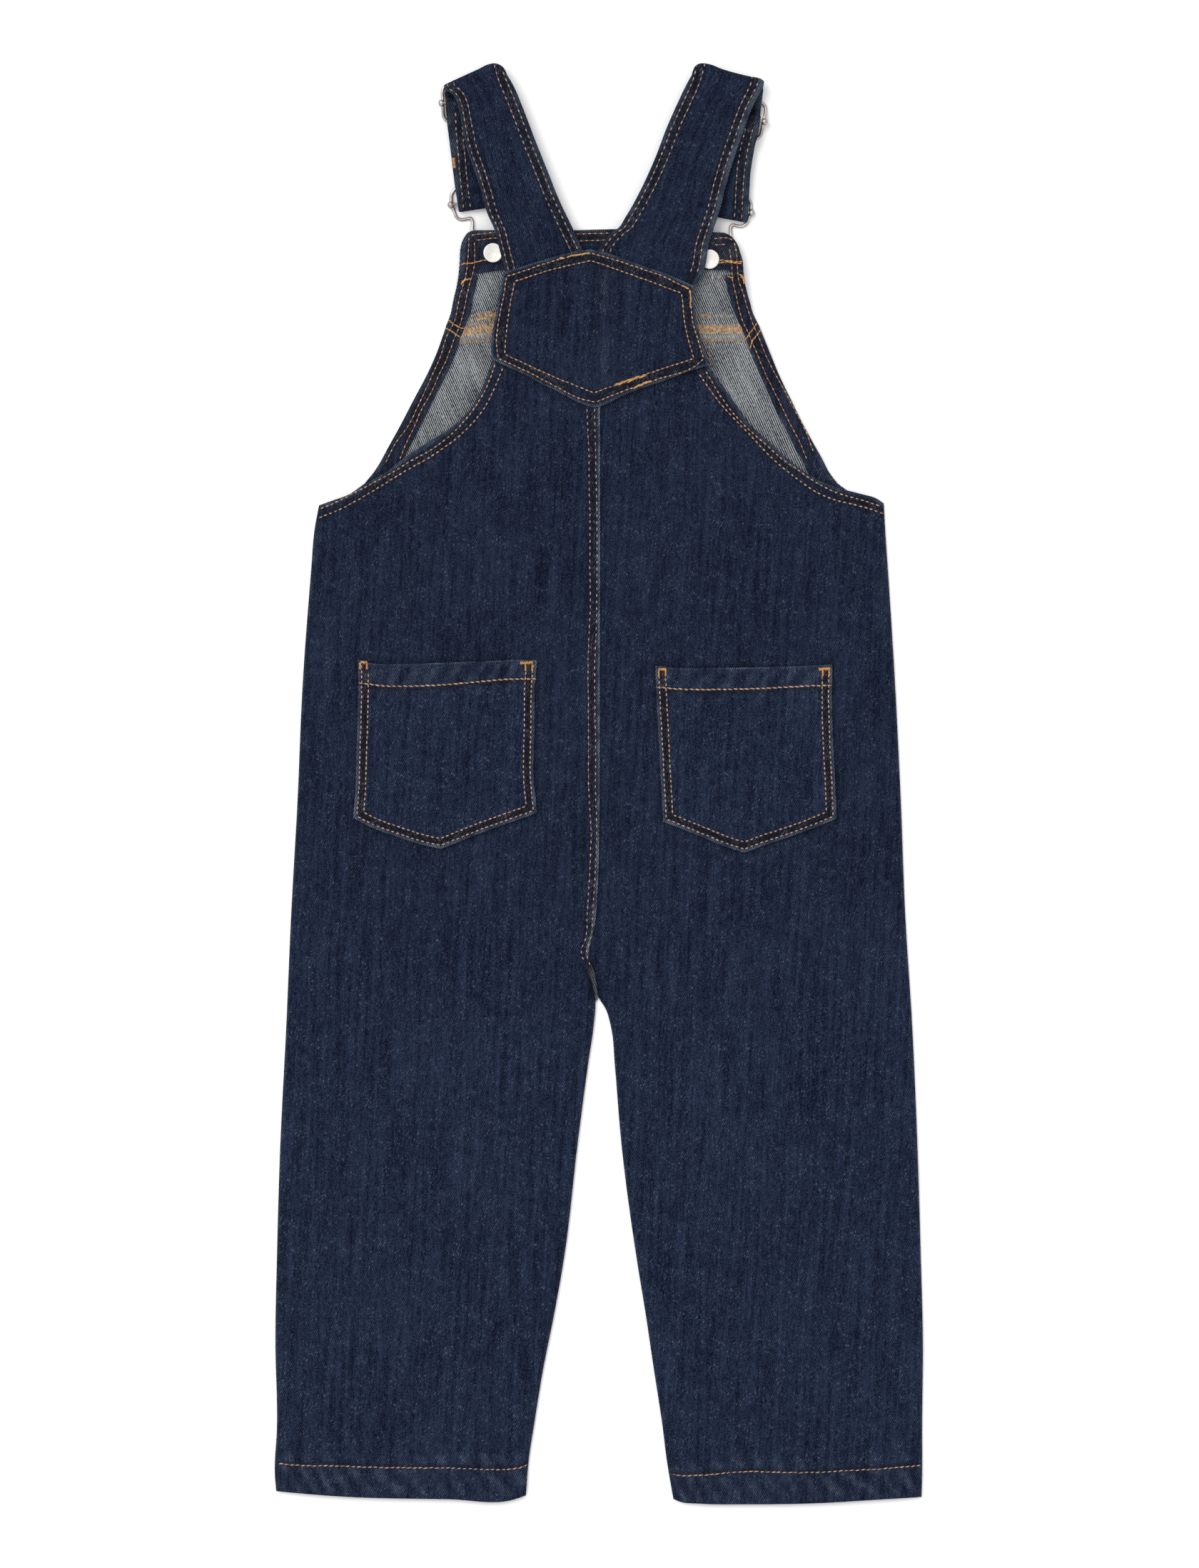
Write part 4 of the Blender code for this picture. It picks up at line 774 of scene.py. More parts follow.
def back_panel(side):
    """What shapes and marks one half of the back: its patch, and height, wear and shade at its places."""
    left = side == "left"
    fold_line = left_side if left else right_side
    inner = Line((LEFT_INSEAM if left else RIGHT_INSEAM) + CENTRE_SEAM)
    inseam = left_inseam if left else right_inseam
    centre = Line(CENTRE_SEAM)
    armhole = Line(LEFT_ARMHOLE if left else RIGHT_ARMHOLE)
    arm_outer, arm_inner = (Line(row) for row in (ARM_ROWS[side]))
    hem = Line(LEFT_HEM if left else RIGHT_HEM)
    hem_row = Line(LEFT_HEM_ROW if left else RIGHT_HEM_ROW)
    top = Line(((LEFT_ARMHOLE if left else RIGHT_ARMHOLE) + ((0.4, 622.0),)))
    nudge = -GAP / 2 if left else GAP / 2

    def inner_at(share):
        return inner.at(share) + np.array([[nudge], [0.0]])

    if left:
        place = patch(hem.at, top.at, fold_line.at, inner_at)
    else:
        place = patch(hem.at, lambda share: top.at(1 - share), inner_at, fold_line.at)

    def finish_at(across, up):
        folds = nearest((fold_line, inseam), across, up)
        at_centre, at_arm = centre.distance(across, up), armhole.distance(across, up)
        at_hem, over_hem = hem.distance(across, up), up - hem_row.up(across)
        height = back_top(across, up)
        hem_share = smooth_step((at_hem - HEM_DEEP - 1.2) / -1.6)
        pull = puckers(across, np.maximum(-over_hem, 0), HEM_DEEP, 0.7, 1.0 if left else 4.0)
        pull_above = puckers(across, np.maximum(over_hem, 0), 9.0, -0.5, 2.0 if left else 5.0)
        height += hem_share * (0.55 + 0.32 * pull) + 0.16 * pull_above
        height -= 0.4 * around(over_hem, 0.9)
        height += 0.45 * smooth_step((7.6 - at_arm) / 1.0) - 0.9 * smooth_step((16 - at_arm) / 16)
        height -= 0.55 * smooth_step((0.9 - at_arm) / 0.9)
        to_outer, to_inner = arm_outer.distance(across, up), arm_inner.distance(across, up)
        height -= 0.22 * (around(to_outer, 0.5) + around(to_inner, 0.5))
        if left:
            height += 0.7 * smooth_step((7.4 - at_centre) / 1.2) - 0.3 * smooth_step((0.5 - at_centre) / 0.5)
            to_left, to_right = (row.distance(across, up) for row in seam_rows)
            height -= 0.22 * (around(to_left, 0.5) + around(to_right, 0.5))
            height += 0.05 * np.sin(up * 2 * np.pi / 3.5) * around(at_centre - 0.9, 0.7)
        height = rolled(folds, height, CLOTH + 0.05, 3.0)
        height = np.where(up < 40, rolled(at_hem, height, height - 1.3, 1.5), height)
        height = np.maximum(height, CLOTH + 0.05)
        wear = 0.45 * smooth_step((2.2 - at_arm) / 1.0)
        # shade: painted shade between the armhole's twin rows and in the dents of their stitches; the seat is made a
        # little darker overall
        shade = np.maximum(under_rows(to_outer, to_inner, 3.4), 0.17 * smooth_step((up - 200) / 160))
        if left:
            below_rows = smooth_step((286 - up) / 4)
            wear = np.maximum(wear, 1.5 * smooth_step((1.5 - at_centre) / 0.5) * (1 - below_rows))
            # painted shade between the seat seam's twin rows
            shade = np.maximum(shade, under_rows(to_left, to_right, 4.0) * smooth_step((572 - up) / 2)
                               * (1 - 0.7 * below_rows))
        else:
            # painted shadow of the left half's folded edge on the right half
            shade = np.maximum(shade, 0.5 * smooth_step((2.0 - at_centre) / 1.6))
        # in the slit at the crotch the wear is taken off and painted shade put on
        in_slit = smooth_step((286 - up) / 3) * smooth_step((up - 258) / 4) * smooth_step((3.2 - nearest(
            (centre, inseam), across, up)) / 1.2)
        wear = np.maximum(wear, 0.30 * smooth_step((1.6 - folds) / 1.6)) * (1 - in_slit)
        shade = shade + (0.5 - shade) * in_slit
        hem_marks = hem_share * np.clip(pull, -1, 1)
        wear = np.maximum(wear, 0.30 * hem_marks + 0.06 * hem_share)
        wear = np.maximum(wear, 0.34 * np.clip(pull_above, 0, 1))
        # painted shade in the troughs of the hem's puckers and in the groove beside the hem's row
        shade = np.maximum(shade, 0.28 * np.clip(-hem_marks, 0, 1))
        shade = np.maximum(shade, 0.55 * around(over_hem - 1.0, 1.0))
        # painted shadows beside the pockets and below the yoke, and painted shade round the crotch
        for outline in pocket_outlines.values():
            shade = np.maximum(shade, 0.5 * smooth_step((4.2 - nearest(outline, across, up)) / 4.2))
        at_yoke = nearest(yoke_outline, across, up)
        shade = np.maximum(shade, 0.4 * smooth_step((4.5 - at_yoke) / 4.5) + 0.4 * smooth_step((2.2 - at_yoke) / 1.6))
        from_crotch = np.hypot(across - CROTCH[0], up - CROTCH_SHADE_UP)
        shade = np.maximum(shade, 0.5 * smooth_step((7 - from_crotch) / 7))
        return height, wear, shade
    return place, finish_at


def plan_surface(place, finish_at):
    """A surface for cloth() whose map is flat on the cutting table."""
    def surface(u, v):
        across, up = place(u, v)
        return across, up, *finish_at(across, up), across, up
    return surface


back_finishes = {}
for side, hem_wide in (("left", 130.0), ("right", 129.0)):
    place, back_finishes[side] = back_panel(side)
    shares_up = np.union1d(spread(600.0, 2.7), np.linspace(0, 26, 18) / 600.0)
    back = cloth(f"back_{side}_denim", spread(hem_wide, 1.7), shares_up, plan_surface(place, back_finishes[side]),
                 CLOTH, [f"back_{side}"], "denim", (denim, wrong_side))

# %% [markdown]
# ## Pockets and yoke
#
# The two patch pockets and the six-sided yoke are cut with a seam allowance that is pressed under, so their edges
# are thick and rounded, worn pale on the fold, and held down by twin rows. The mouth of a pocket is a deep hem: it
# stands a little off the seat, and its one row of stitches has pulled it into slanting puckers. Both are laid on
# the back's own height, so they follow each wave below them. The yoke also covers the straps' ends, which are
# thicker than the back, so it climbs a little above its lower stitching.

# %% Pockets
POCKET_HEM_ROWS = dict(
    left=((-125.0, 425.6), (-112.1, 424.0), (-101.4, 423.8), (-83.6, 424.4), (-62.5, 426.1), (-48.1, 427.4),
          (-32.6, 427.7)),
    right=((29.2, 423.3), (44.0, 422.2), (66.2, 422.2), (88.1, 422.9), (109.9, 424.0), (120.6, 424.4)),
)


def turned_edge(distance, height, thick=0.35, drop=0.5):
    """An edge that is pressed under: thicker over the allowance, rounded off at the fold."""
    return height + thick * smooth_step((7.2 - distance) / 1.4) - drop * smooth_step((0.8 - distance) / 0.8)


def row_dents(distance):
    """The cloth sinks a little under each row of stitches."""
    return -0.2 * sum(around(distance - depth, 0.45) for depth in EDGE_ROWS)


def pocket_finish(side):
    outline = pocket_outlines[side]
    sewn = [outline[i] for i in SEWN_RUNS]
    mouth = outline[3:5]
    row = Line(POCKET_HEM_ROWS[side])

    def finish_at(across, up):
        at_edge, at_mouth = nearest(sewn, across, up), nearest(mouth, across, up)
        below = row.up(across) - up
        hem_share = smooth_step((0.6 - below) / 1.2)
        pull = puckers(across, np.maximum(-below, 0) + 1.0, 11.0, 0.55, 2.0 if side == "left" else 5.0)
        pull_under = puckers(across, np.maximum(below, 0) + 0.5, 9.0, -0.4, 3.0 if side == "left" else 6.0)
        height = back_top(across, up) + 0.12 + CLOTH
        height = turned_edge(at_edge, height) + row_dents(at_edge)
        height += hem_share * (0.35 + 0.28 * pull) + 0.13 * pull_under * smooth_step(at_edge / 8)
        height += 0.55 * smooth_step((6 - at_mouth) / 6) * smooth_step(at_edge / 14)
        height -= 0.6 * smooth_step((0.9 - at_mouth) / 0.9) + 0.3 * around(below, 0.7)
        wear, shade = edging(at_edge)
        corner = np.max([around(np.hypot(across - x, up - y), 9.0) for x, y in
                         (line.points[0] for line in outline)], axis=0)
        wear = wear * (0.62 + 0.38 * corner)
        wear = np.maximum(wear, smooth_step((1.3 - at_mouth) / 1.0) * (0.35 + 0.5 * corner))
        wear = np.maximum(wear, hem_share * (0.10 + 0.26 * np.clip(pull, -0.4, 1)) * smooth_step((at_mouth - 0.3)))
        wear = np.maximum(wear, 0.22 * np.clip(pull_under, 0, 1) * smooth_step((at_edge - 6) / 3))
        # painted shade between the twin rows, faded out at the mouth, and a painted shadow just under the mouth's hem
        # row
        shade = np.maximum(shade * smooth_step((at_mouth - 1) / 2), 0.65 * around(below - 1.1, 1.3))
        # painted shade in the troughs of the hem's puckers
        shade = np.maximum(shade, 0.25 * hem_share * np.clip(-pull, 0, 1))
        return height, wear, shade
    return finish_at


pocket_finishes = {}
for side in POCKETS:
    pocket_finishes[side] = pocket_finish(side)
    pocket = cloth(f"pocket_{side}_denim", np.union1d(spread(92.0, 1.4), [0.5]),
                   np.union1d(spread(90.0, 1.4), 1 - np.linspace(0, 14, 16) / 90.0),
                   plan_surface(patch_of(POCKETS[side]), pocket_finishes[side]), CLOTH,
                   [f"back_pocket_{side}"], "denim", (denim, wrong_side))

# %% Yoke
STRAP_CLOTH = 1.5           # a strap is turned double
yoke_rows = [[Line(run) for run in rows] for rows in YOKE_ROWS]


def yoke_finish(across, up):
    at_edge = nearest(yoke_outline, across, up)
    climb = smooth_step((up - 608) / 12)
    height = back_floor(across, up) + CLOTH + 0.22 + (0.28 + STRAP_CLOTH - CLOTH) * climb + CLOTH
    height = turned_edge(at_edge, height, 0.4, 0.55)
    middle = np.where(up > 570, across + 0.5, across)
    height += (0.35 * around(middle - 1.6, 1.5) - 0.3 * around(middle + 1.6, 1.6)) * smooth_step(at_edge / 7)
    height += 0.18 * np.sin(across / 13.0 + up / 21.0) * smooth_step(at_edge / 12)
    to_outer, to_inner = nearest(yoke_rows[0], across, up), nearest(yoke_rows[1], across, up)
    wear, shade = smooth_step((1.5 - at_edge) / 0.9), under_rows(to_outer, to_inner, 4.6)
    corner = np.max([around(np.hypot(across - line.points[0][0], up - line.points[0][1]), 9.0)
                     for line in yoke_outline], axis=0)
    wear = wear * (0.6 + 0.4 * corner)
    wear = np.maximum(wear, 0.16 * around(middle - 2.6, 1.8) * smooth_step((at_edge - 5) / 4))
    # painted shade in the groove beside the seam down the yoke's middle
    shade = np.maximum(shade, 0.45 * around(middle + 1.4, 1.9) * smooth_step((at_edge - 4) / 4))
    # the yoke is also made a little darker overall where it is not worn
    return height, wear, np.maximum(shade, 0.17 - wear * 0.17)


yoke = cloth("yoke_denim", np.union1d(spread(110.0, 1.5), [0.5]), spread(62.0, 1.4),
             plan_surface(patch_of(YOKE), yoke_finish), CLOTH, ["back_yoke"], "denim", (denim, wrong_side))

# %% [markdown]
# ## The inside that shows: bib, facing and turned hems
#
# Between the back's armholes and the straps one looks at the inside of the bib, which is pale. Along its top runs
# the facing, a dark strip that covers the buttons' backs, and down both sides the cloth's own edge is turned in
# twice. The bib is joined to the trousers with its raw edges overlocked together. All of these lie on the table, or
# on each other, and rise together where the button caps are under them.

# %% Front, bib, facing and side hems
BIB_SEAM_UP, FACING_LOW_UP, SIDE_HEM_LOW_UP = 610.0, 637.0, 524.0
TRIM_CLOTH = 1.0            # the facing and the turned side hems
LEFT_FRONT_EDGE = ((-145.0, 516.9), (-136.9, 519.9), (-129.5, 523.5), (-123.2, 528.0), (-116.9, 535.4),
                   (-109.5, 548.3), (-104.3, 557.6), (-96.6, 572.4), (-88.8, 587.2), (-85.5, 594.6),
                   (-79.9, 610.0))
RIGHT_FRONT_EDGE = ((146.9, 518.2), (138.8, 520.6), (129.5, 524.3), (121.4, 531.7), (115.1, 542.8),
                    (106.9, 557.6), (99.5, 572.4), (92.5, 587.2), (89.5, 594.6), (83.2, 610.0))
LEFT_BIB_EDGE = ((-79.9, 610.0), (-77.3, 616.8), (-75.8, 624.2), (-74.0, 631.6), (-72.9, 639.0),
                 (-72.4, 646.4), (-72.2, 650.1), (-71.4, 654.0), (-70.0, 657.0), (-68.2, 659.2), (-65.5, 660.5))
RIGHT_BIB_EDGE = ((83.2, 610.0), (79.9, 616.8), (77.7, 624.2), (75.8, 631.6), (74.7, 639.0), (74.2, 645.5),
                  (72.9, 650.1), (71.6, 654.0), (69.8, 657.0), (67.6, 659.2), (64.5, 660.5))
LEFT_INSIDE_OUTER = (((5.5, 658.6), (-10.5, 658.2), (-54.4, 658.8), (-67.0, 657.3)),
                     ((-67.5, 656.9), (-68.1, 646.0), (-69.0, 637.5), (-71.2, 629.7), (-72.6, 625.1),
                      (-73.8, 618.6), (-75.0, 613.5), (-79.0, 605.7), (-82.5, 594.6), (-86.6, 585.3),
                      (-92.5, 572.4), (-99.9, 557.6), (-105.5, 550.2), (-111.0, 539.1)))
LEFT_INSIDE_INNER = (((3.7, 655.1), (-8.9, 654.6), (-52.9, 656.0), (-64.0, 654.7)),
                     ((-64.7, 654.2), (-64.8, 641.5), (-65.4, 638.5), (-67.0, 633.1), (-68.1, 628.8),
                      (-69.4, 622.7), (-71.4, 613.8), (-75.3, 603.8), (-79.3, 593.0), (-83.6, 584.2),
                      (-88.1, 574.2), (-92.5, 566.8), (-96.2, 557.6), (-99.9, 550.2), (-103.6, 540.9)))
RIGHT_INSIDE_OUTER = (((58.8, 655.6), (67.3, 655.7), (69.2, 654.6)),
                      ((69.6, 654.0), (70.7, 649.6), (71.4, 640.8), (72.3, 633.1), (74.0, 628.7), (76.8, 619.2),
                       (79.1, 612.7), (82.6, 604.4), (85.5, 597.1), (87.6, 592.4), (90.7, 586.2), (95.1, 578.4),
                       (99.9, 569.4), (106.0, 558.0), (111.0, 545.0)))
RIGHT_INSIDE_INNER = (((58.8, 652.4), (66.1, 652.6)),
                      ((67.3, 650.8), (68.2, 644.5), (69.2, 632.5), (70.3, 628.2), (72.5, 618.3), (74.2, 613.1),
                       (76.8, 607.5), (79.6, 601.0), (81.8, 595.8), (83.6, 591.3), (86.2, 585.3), (89.9, 577.9),
                       (93.6, 570.5), (98.0, 561.3), (104.0, 550.0), (107.5, 541.0)))
inside_rows = [[Line(run) for rows in pair for run in rows]
               for pair in ((LEFT_INSIDE_OUTER, RIGHT_INSIDE_OUTER), (LEFT_INSIDE_INNER, RIGHT_INSIDE_INNER))]
BIB_TOP = Line(((-70.0, 660.1), (-13.7, 660.3), (11.1, 660.9), (70.0, 658.6)))
left_front_edge, right_front_edge, left_bib_edge, right_bib_edge = map(
    Line, (LEFT_FRONT_EDGE, RIGHT_FRONT_EDGE, LEFT_BIB_EDGE, RIGHT_BIB_EDGE))


def front_panel(side):
    """The front's half lies just inside the back's edges."""
    sign = 1 if side == "left" else -1
    fold_line, inseam = (left_side, left_inseam) if side == "left" else (right_side, right_inseam)
    armhole = left_front_edge if side == "left" else right_front_edge
    hem = Line(LEFT_HEM if side == "left" else RIGHT_HEM)

    def place(u, v):
        up = 1.5 + v * (BIB_SEAM_UP - 0.15 - 1.5)
        outer = np.where(up < 516.9, fold_line.across(up) + sign * 1.7, armhole.across(up) + sign * 0.4)
        inner = np.where(up < CROTCH[1], inseam.across(up) - sign * 1.7, 0.2 - sign * 0.2)
        start, end = (outer, inner) if side == "left" else (inner, outer)
        across = start + u * (end - start)
        return across, up + hem.up(across) * (1 - smooth_step(up / 60))

    def finish_at(across, up):
        # painted shade round the crotch, seen through the slit between the back's halves
        shade = 0.9 * smooth_step((14 - np.hypot(across - CROTCH[0], up - CROTCH_SHADE_UP)) / 6)
        return front_floor(across, up) + CLOTH, 0.0 * up, shade
    return place, finish_at


for side in ("left", "right"):
    front = cloth(f"front_{side}_denim", spread(150.0, 5.0), spread(605.0, 6.0), plan_surface(*front_panel(side)),
                  CLOTH, [f"front_{side}"], "denim_wrong_side", (wrong_side, denim))


def bib_place(low, in_from_edge):
    """Places on the bib above a level, a little inside its edges."""
    high = LEFT_BIB_EDGE[-1][1]

    def place(u, v):
        level = low + v * (high - low)
        start, end = left_bib_edge.across(level) + in_from_edge, right_bib_edge.across(level) - in_from_edge
        across = start + u * (end - start)
        return across, low + v * (BIB_TOP.up(across) - in_from_edge - low)
    return place


def bib_edge_distance(across, up):
    return nearest((left_bib_edge, right_bib_edge, BIB_TOP), across, up)


def band(up, low, high, soft=0.7):
    return smooth_step((up - low) / soft + 0.5) * smooth_step((high - up) / soft + 0.5)


def sag(across):
    """The overlocked bands on the left hang a little lower towards the outside."""
    return np.where(across < 0, (across + 58.0) * 0.1, 0.0)


def bib_finish(across, up):
    height = front_floor(across, up) + CLOTH - 0.3 * smooth_step((0.8 - bib_edge_distance(across, up)) / 0.8)
    left, sunk = across < 0, sag(across)
    frayed = np.where(left, band(up - sunk, 603.4, 606.4), band(up, 604.0, 606.6)) * 0.8
    height += 0.35 * band(up - sunk, 602.6, 611.5, 1.2)
    return height, frayed, np.where(left, 0.0, 0.35 * band(up, 603.2, 604.6, 1.0))


def overlock_share(across, up):
    """How much of the bib's wrong side the overlocking's thread covers."""
    left, sunk = across < 0, sag(across)
    upper = np.where(left, band(up - sunk, 614.2, 617.8) * smooth_step((across + 67) / 8),
                     band(up, 614.8, 616.6) * (0.45 + 0.45 * smooth_step((61 - across) / 3)))
    between_them = np.where(left, 0.42 * band(up - sunk, 610.5, 615.0), 0.06)
    main = np.where(left, 0.75 * band(up - sunk, 606.2, 611.5), 0.9 * band(up, 606.6, 611.2, 0.5))
    edge = 0.75 * np.where(left, band(up - sunk, 602.2, 603.6), band(up, 602.4, 603.8))
    return np.max([upper, between_them * (up > 606), main, edge], axis=0)


def facing_finish(across, up):
    at_edge = bib_edge_distance(across, up)
    to_outer, to_inner = nearest(inside_rows[0], across, up), nearest(inside_rows[1], across, up)
    height = (front_floor(across, up) + CLOTH + 0.15 + TRIM_CLOTH
              - 0.2 * (around(to_outer, 0.6) + around(to_inner, 0.6)))
    height += 0.25 * np.sin(across / 8.0) * around(up - 640, 5.0)
    height -= 0.4 * smooth_step((0.8 - at_edge) / 0.8) + 0.25 * around(up - 644.0, 0.8)
    wear = (0.55 * smooth_step((3.4 - at_edge) / 1.4) * (across < 0)
            + 0.25 * smooth_step((up - 640) / 6) * (across > 0))
    shade = under_rows(to_outer, to_inner, 3.6)
    shade = np.maximum(shade, np.where(across > 0, 0.72, 0.1) * smooth_step((up - 639.5) / 2.0))
    return height, wear, np.maximum(shade, 0.8 * around(up - 643.2, 1.0))


bib = cloth("bib_wrong_side", spread(150.0, 1.3), spread(50.0, 0.6), plan_surface(bib_place(610.15, 0.0), bib_finish),
            CLOTH, ["bib"], "denim_wrong_side", (wrong_side, denim), marks=dict(overlock=overlock_share))
plain_facing_place = bib_place(FACING_LOW_UP, 0.3)


def facing_place(u, v):
    """The facing's lower edge runs a little higher between its ends."""
    across, up = plain_facing_place(u, v)
    return across, up + (1 - v) * 2.4 * smooth_step((across + 70) / 22) * smooth_step((71 - across) / 6)


facing = cloth("bib_facing_denim", spread(146.0, 1.0), spread(23.0, 0.8),
               plan_surface(facing_place, facing_finish), TRIM_CLOTH, ["bib_facing"], "denim",
               (inside_denim, wrong_side))

SIDE_HEM_WIDE = 10.0


def allowance_surface(side):
    """The bib seam's raw edges, overlocked together, lie as a narrow band between the side hem and the yoke."""
    start, end, top = (-73.0, -45.0, 611.8) if side == "left" else (46.0, 77.0, 611.4)

    def surface(u, v):
        across = start + u * (end - start)
        low, high = 602.6 + sag(across), top + sag(across)
        ragged = 0.35 * np.sin(across * 2.1) + 0.3 * np.sin(across * 3.7 + 1) + 0.25 * np.sin(across * 7.3)
        low = low + ragged * 0.6
        up = low + v * (high - low)
        height = front_floor(across, up) + CLOTH + 0.12 + 0.6 * smooth_step(np.minimum(v, 1 - v) * 6)
        height = height + 0.12 * np.sin(across * 2.6) * (1 - v)
        frayed = 0.85 * smooth_step((low + 4.0 - up) / 0.7)
        return across, up, height, frayed, 0.25 * smooth_step((low + 1.6 - up) / 0.8), across + 3.0, up
    return surface


for side in ("left", "right"):
    allowance = cloth(f"bib_seam_allowance_{side}", np.linspace(0, 1, 70), np.linspace(0, 1, 20),
                      allowance_surface(side), 0.4, (), "denim_wrong_side", (wrong_side, wrong_side),
                      marks=dict(overlock=overlock_share))

for side, bib_edge, front_edge, sign in (("left", left_bib_edge, left_front_edge, 1),
                                         ("right", right_bib_edge, right_front_edge, -1)):

    def hem_place(u, v):
        def edge(up):
            return np.where(up > BIB_SEAM_UP, bib_edge.across(up), front_edge.across(up))
        share = u if sign > 0 else 1 - u
        high = FACING_LOW_UP - 0.3
        up = SIDE_HEM_LOW_UP + v * (high - SIDE_HEM_LOW_UP)
        above, below = np.minimum(up + 2, high), np.maximum(up - 2, SIDE_HEM_LOW_UP)
        lean = (edge(above) - edge(below)) / (above - below)
        away = (SIDE_HEM_WIDE * share + 0.3) / np.hypot(1, lean)
        return edge(up) + sign * away, up - sign * lean * away * (1 - v)

    def hem_surface(u, v):
        across, up = hem_place(u, v)
        at_edge = (u if sign > 0 else 1 - u) * SIDE_HEM_WIDE
        inner = SIDE_HEM_WIDE - at_edge
        to_outer, to_inner = nearest(inside_rows[0], across, up), nearest(inside_rows[1], across, up)
        height = front_floor(across, up) + CLOTH + 0.15 + TRIM_CLOTH
        height -= 0.2 * (around(to_outer, 0.6) + around(to_inner, 0.6))
        height += 0.12 * np.sin(up * 2 * np.pi / 7.0 + 3) * smooth_step(at_edge / 3)
        height -= 0.4 * smooth_step((0.8 - at_edge) / 0.8) + 0.4 * smooth_step((0.6 - inner) / 0.6)
        wear = (0.4 * smooth_step((2.6 - at_edge) / 1.0) * (0.5 + 0.5 * np.sin(up / 6.0))
                + 0.2 * smooth_step((2.0 - inner)))
        return across, up, height, wear, under_rows(to_outer, to_inner, 3.6), across, up

    hem = cloth(f"bib_side_hem_{side}", np.linspace(0, 1, 19),
                np.linspace(0, 1, 90), hem_surface, TRIM_CLOTH, [f"front_hem_{side}"], "denim",
                (inside_denim, wrong_side))

# %% [markdown]
# ## Straps
#
# Each strap is one long strip of doubled cloth. It starts under the yoke, runs over the shoulder, where it folds
# flat, and down in front through the slide. From there it goes round the hook's crossbar, back up over the slide's
# middle bar, and its end is sewn to itself. So four layers lie over each other beside the slide. A strip like that
# is easiest to build from sections: one line across the strap at each place along it, and the grid joins them up.

# %% Strap measures
WIRE = 1.6                                      # the slides' and hooks' wire
BAR_WRAP = WIRE / 2 + GAP + STRAP_CLOTH / 2     # middle of the cloth round a bar
LAYER = STRAP_CLOTH + GAP
MAIN_LOW, MAIN_OVER_WIRE = STRAP_CLOTH / 2, WIRE + GAP + STRAP_CLOTH / 2
BACK_MIDDLE = MAIN_OVER_WIRE + 3 * LAYER
FOLD_RADIUS = (BACK_MIDDLE - MAIN_OVER_WIRE) / 2
SLIDE_HALF_WIDTH, SLIDE_HALF_HEIGHT, SLIDE_CORNER, SLIDE_ARCH = 18.3, 9.4, 3.4, 2.2
HOOK_BAR_UP, HOOK_TOP_UP, HOOK_BALL, SLIDE_BALL = 27.6, 36.6, 18.8, 18.9
STRAP_END_DROP, STRAP_END_SHARE = 31.0, 0.58
INNER_ROWS = (2.6, 6.4)                         # stitches, in from the strap's inner edge
LEFT_STRAP = dict(
    out=-1,
    back_outer=((-46.0, 622.3), (-49.3, 640.0), (-52.0, 650.8), (-54.3, 660.0), (-58.1, 668.6),
                (-61.0, 679.0), (-64.8, 690.8), (-68.5, 701.1), (-71.4, 715.0), (-73.1, 723.6), (-74.4, 727.9),
                (-75.8, 731.2), (-79.0, 733.8)),
    back_inner=((-1.4, 622.3), (-2.5, 636.0), (-8.5, 649.4), (-13.7, 660.5), (-21.1, 676.0), (-27.0, 690.8),
                (-33.3, 706.5), (-39.8, 723.5), (-45.1, 735.9), (-47.7, 740.4)),
    fold=((-80.7, 735.2), (-70.5, 739.9), (-62.2, 743.7), (-57.7, 745.9), (-54.0, 746.4), (-51.1, 745.1),
          (-49.4, 743.0)),
    front_outer=((-80.6, 738.0), (-80.0, 728.0), (-78.8, 714.5), (-77.0, 700.0), (-74.7, 681.5), (-72.9, 670.1)),
    front_inner=((-48.5, 742.0), (-47.8, 728.0), (-46.6, 714.0), (-45.0, 700.0), (-43.0, 681.5), (-42.0, 670.1)),
    slide=(-62.9, 726.6), slide_tilt=2.0, button=BUTTONS[0], hook=(-55.1, 648.2), hook_tilt=7.0,
    edge_wear=0.3, rows=(1.9, 5.1), return_rows=((2.7, 5.1), (6.2, 8.3)), hang=(1.8, 0.9),
)
RIGHT_STRAP = dict(
    out=1,
    back_outer=((46.5, 622.3), (49.3, 628.5), (51.8, 634.4), (53.8, 638.0), (55.0, 642.5), (56.5, 652.4),
                (58.6, 659.0), (61.8, 668.6),
                (66.6, 687.1), (73.3, 707.4), (79.5, 724.1), (83.0, 731.0), (84.2, 733.8)),
    back_inner=((-0.2, 622.3), (-0.8, 640.0), (-0.4, 650.8), (2.5, 655.0), (6.2, 658.7), (10.2, 661.4),
                (13.2, 666.2), (16.8, 672.2), (22.6, 683.4),
                (29.2, 698.2), (34.8, 713.0), (41.4, 727.8), (45.0, 735.4), (47.9, 741.0)),
    fold=((85.3, 737.2), (83.5, 738.4), (77.7, 739.7), (70.3, 741.5), (62.9, 743.7), (57.7, 745.8),
          (54.8, 746.4), (52.0, 746.3), (50.2, 745.2), (49.3, 743.4)),
    front_outer=((85.5, 738.0), (84.5, 730.0), (83.7, 724.0), (83.0, 715.5), (81.9, 708.5), (80.7, 704.7),
                 (79.5, 698.2), (78.4, 691.2), (77.6, 680.0), (77.0, 668.6)),
    front_inner=((50.0, 742.0), (51.8, 728.0), (51.4, 716.0), (49.6, 705.6), (46.8, 687.1), (45.6, 668.6)),
    slide=(67.0, 719.9), slide_tilt=11.0, button=BUTTONS[1], hook=(57.4, 643.6), hook_tilt=5.7,
    edge_wear=0.7, rows=(3.1, 6.4), return_rows=((3.2, 3.3), (6.9, 7.1)), hang=(2.8, 0.3),
)


STRAPS = dict(left=LEFT_STRAP, right=RIGHT_STRAP)


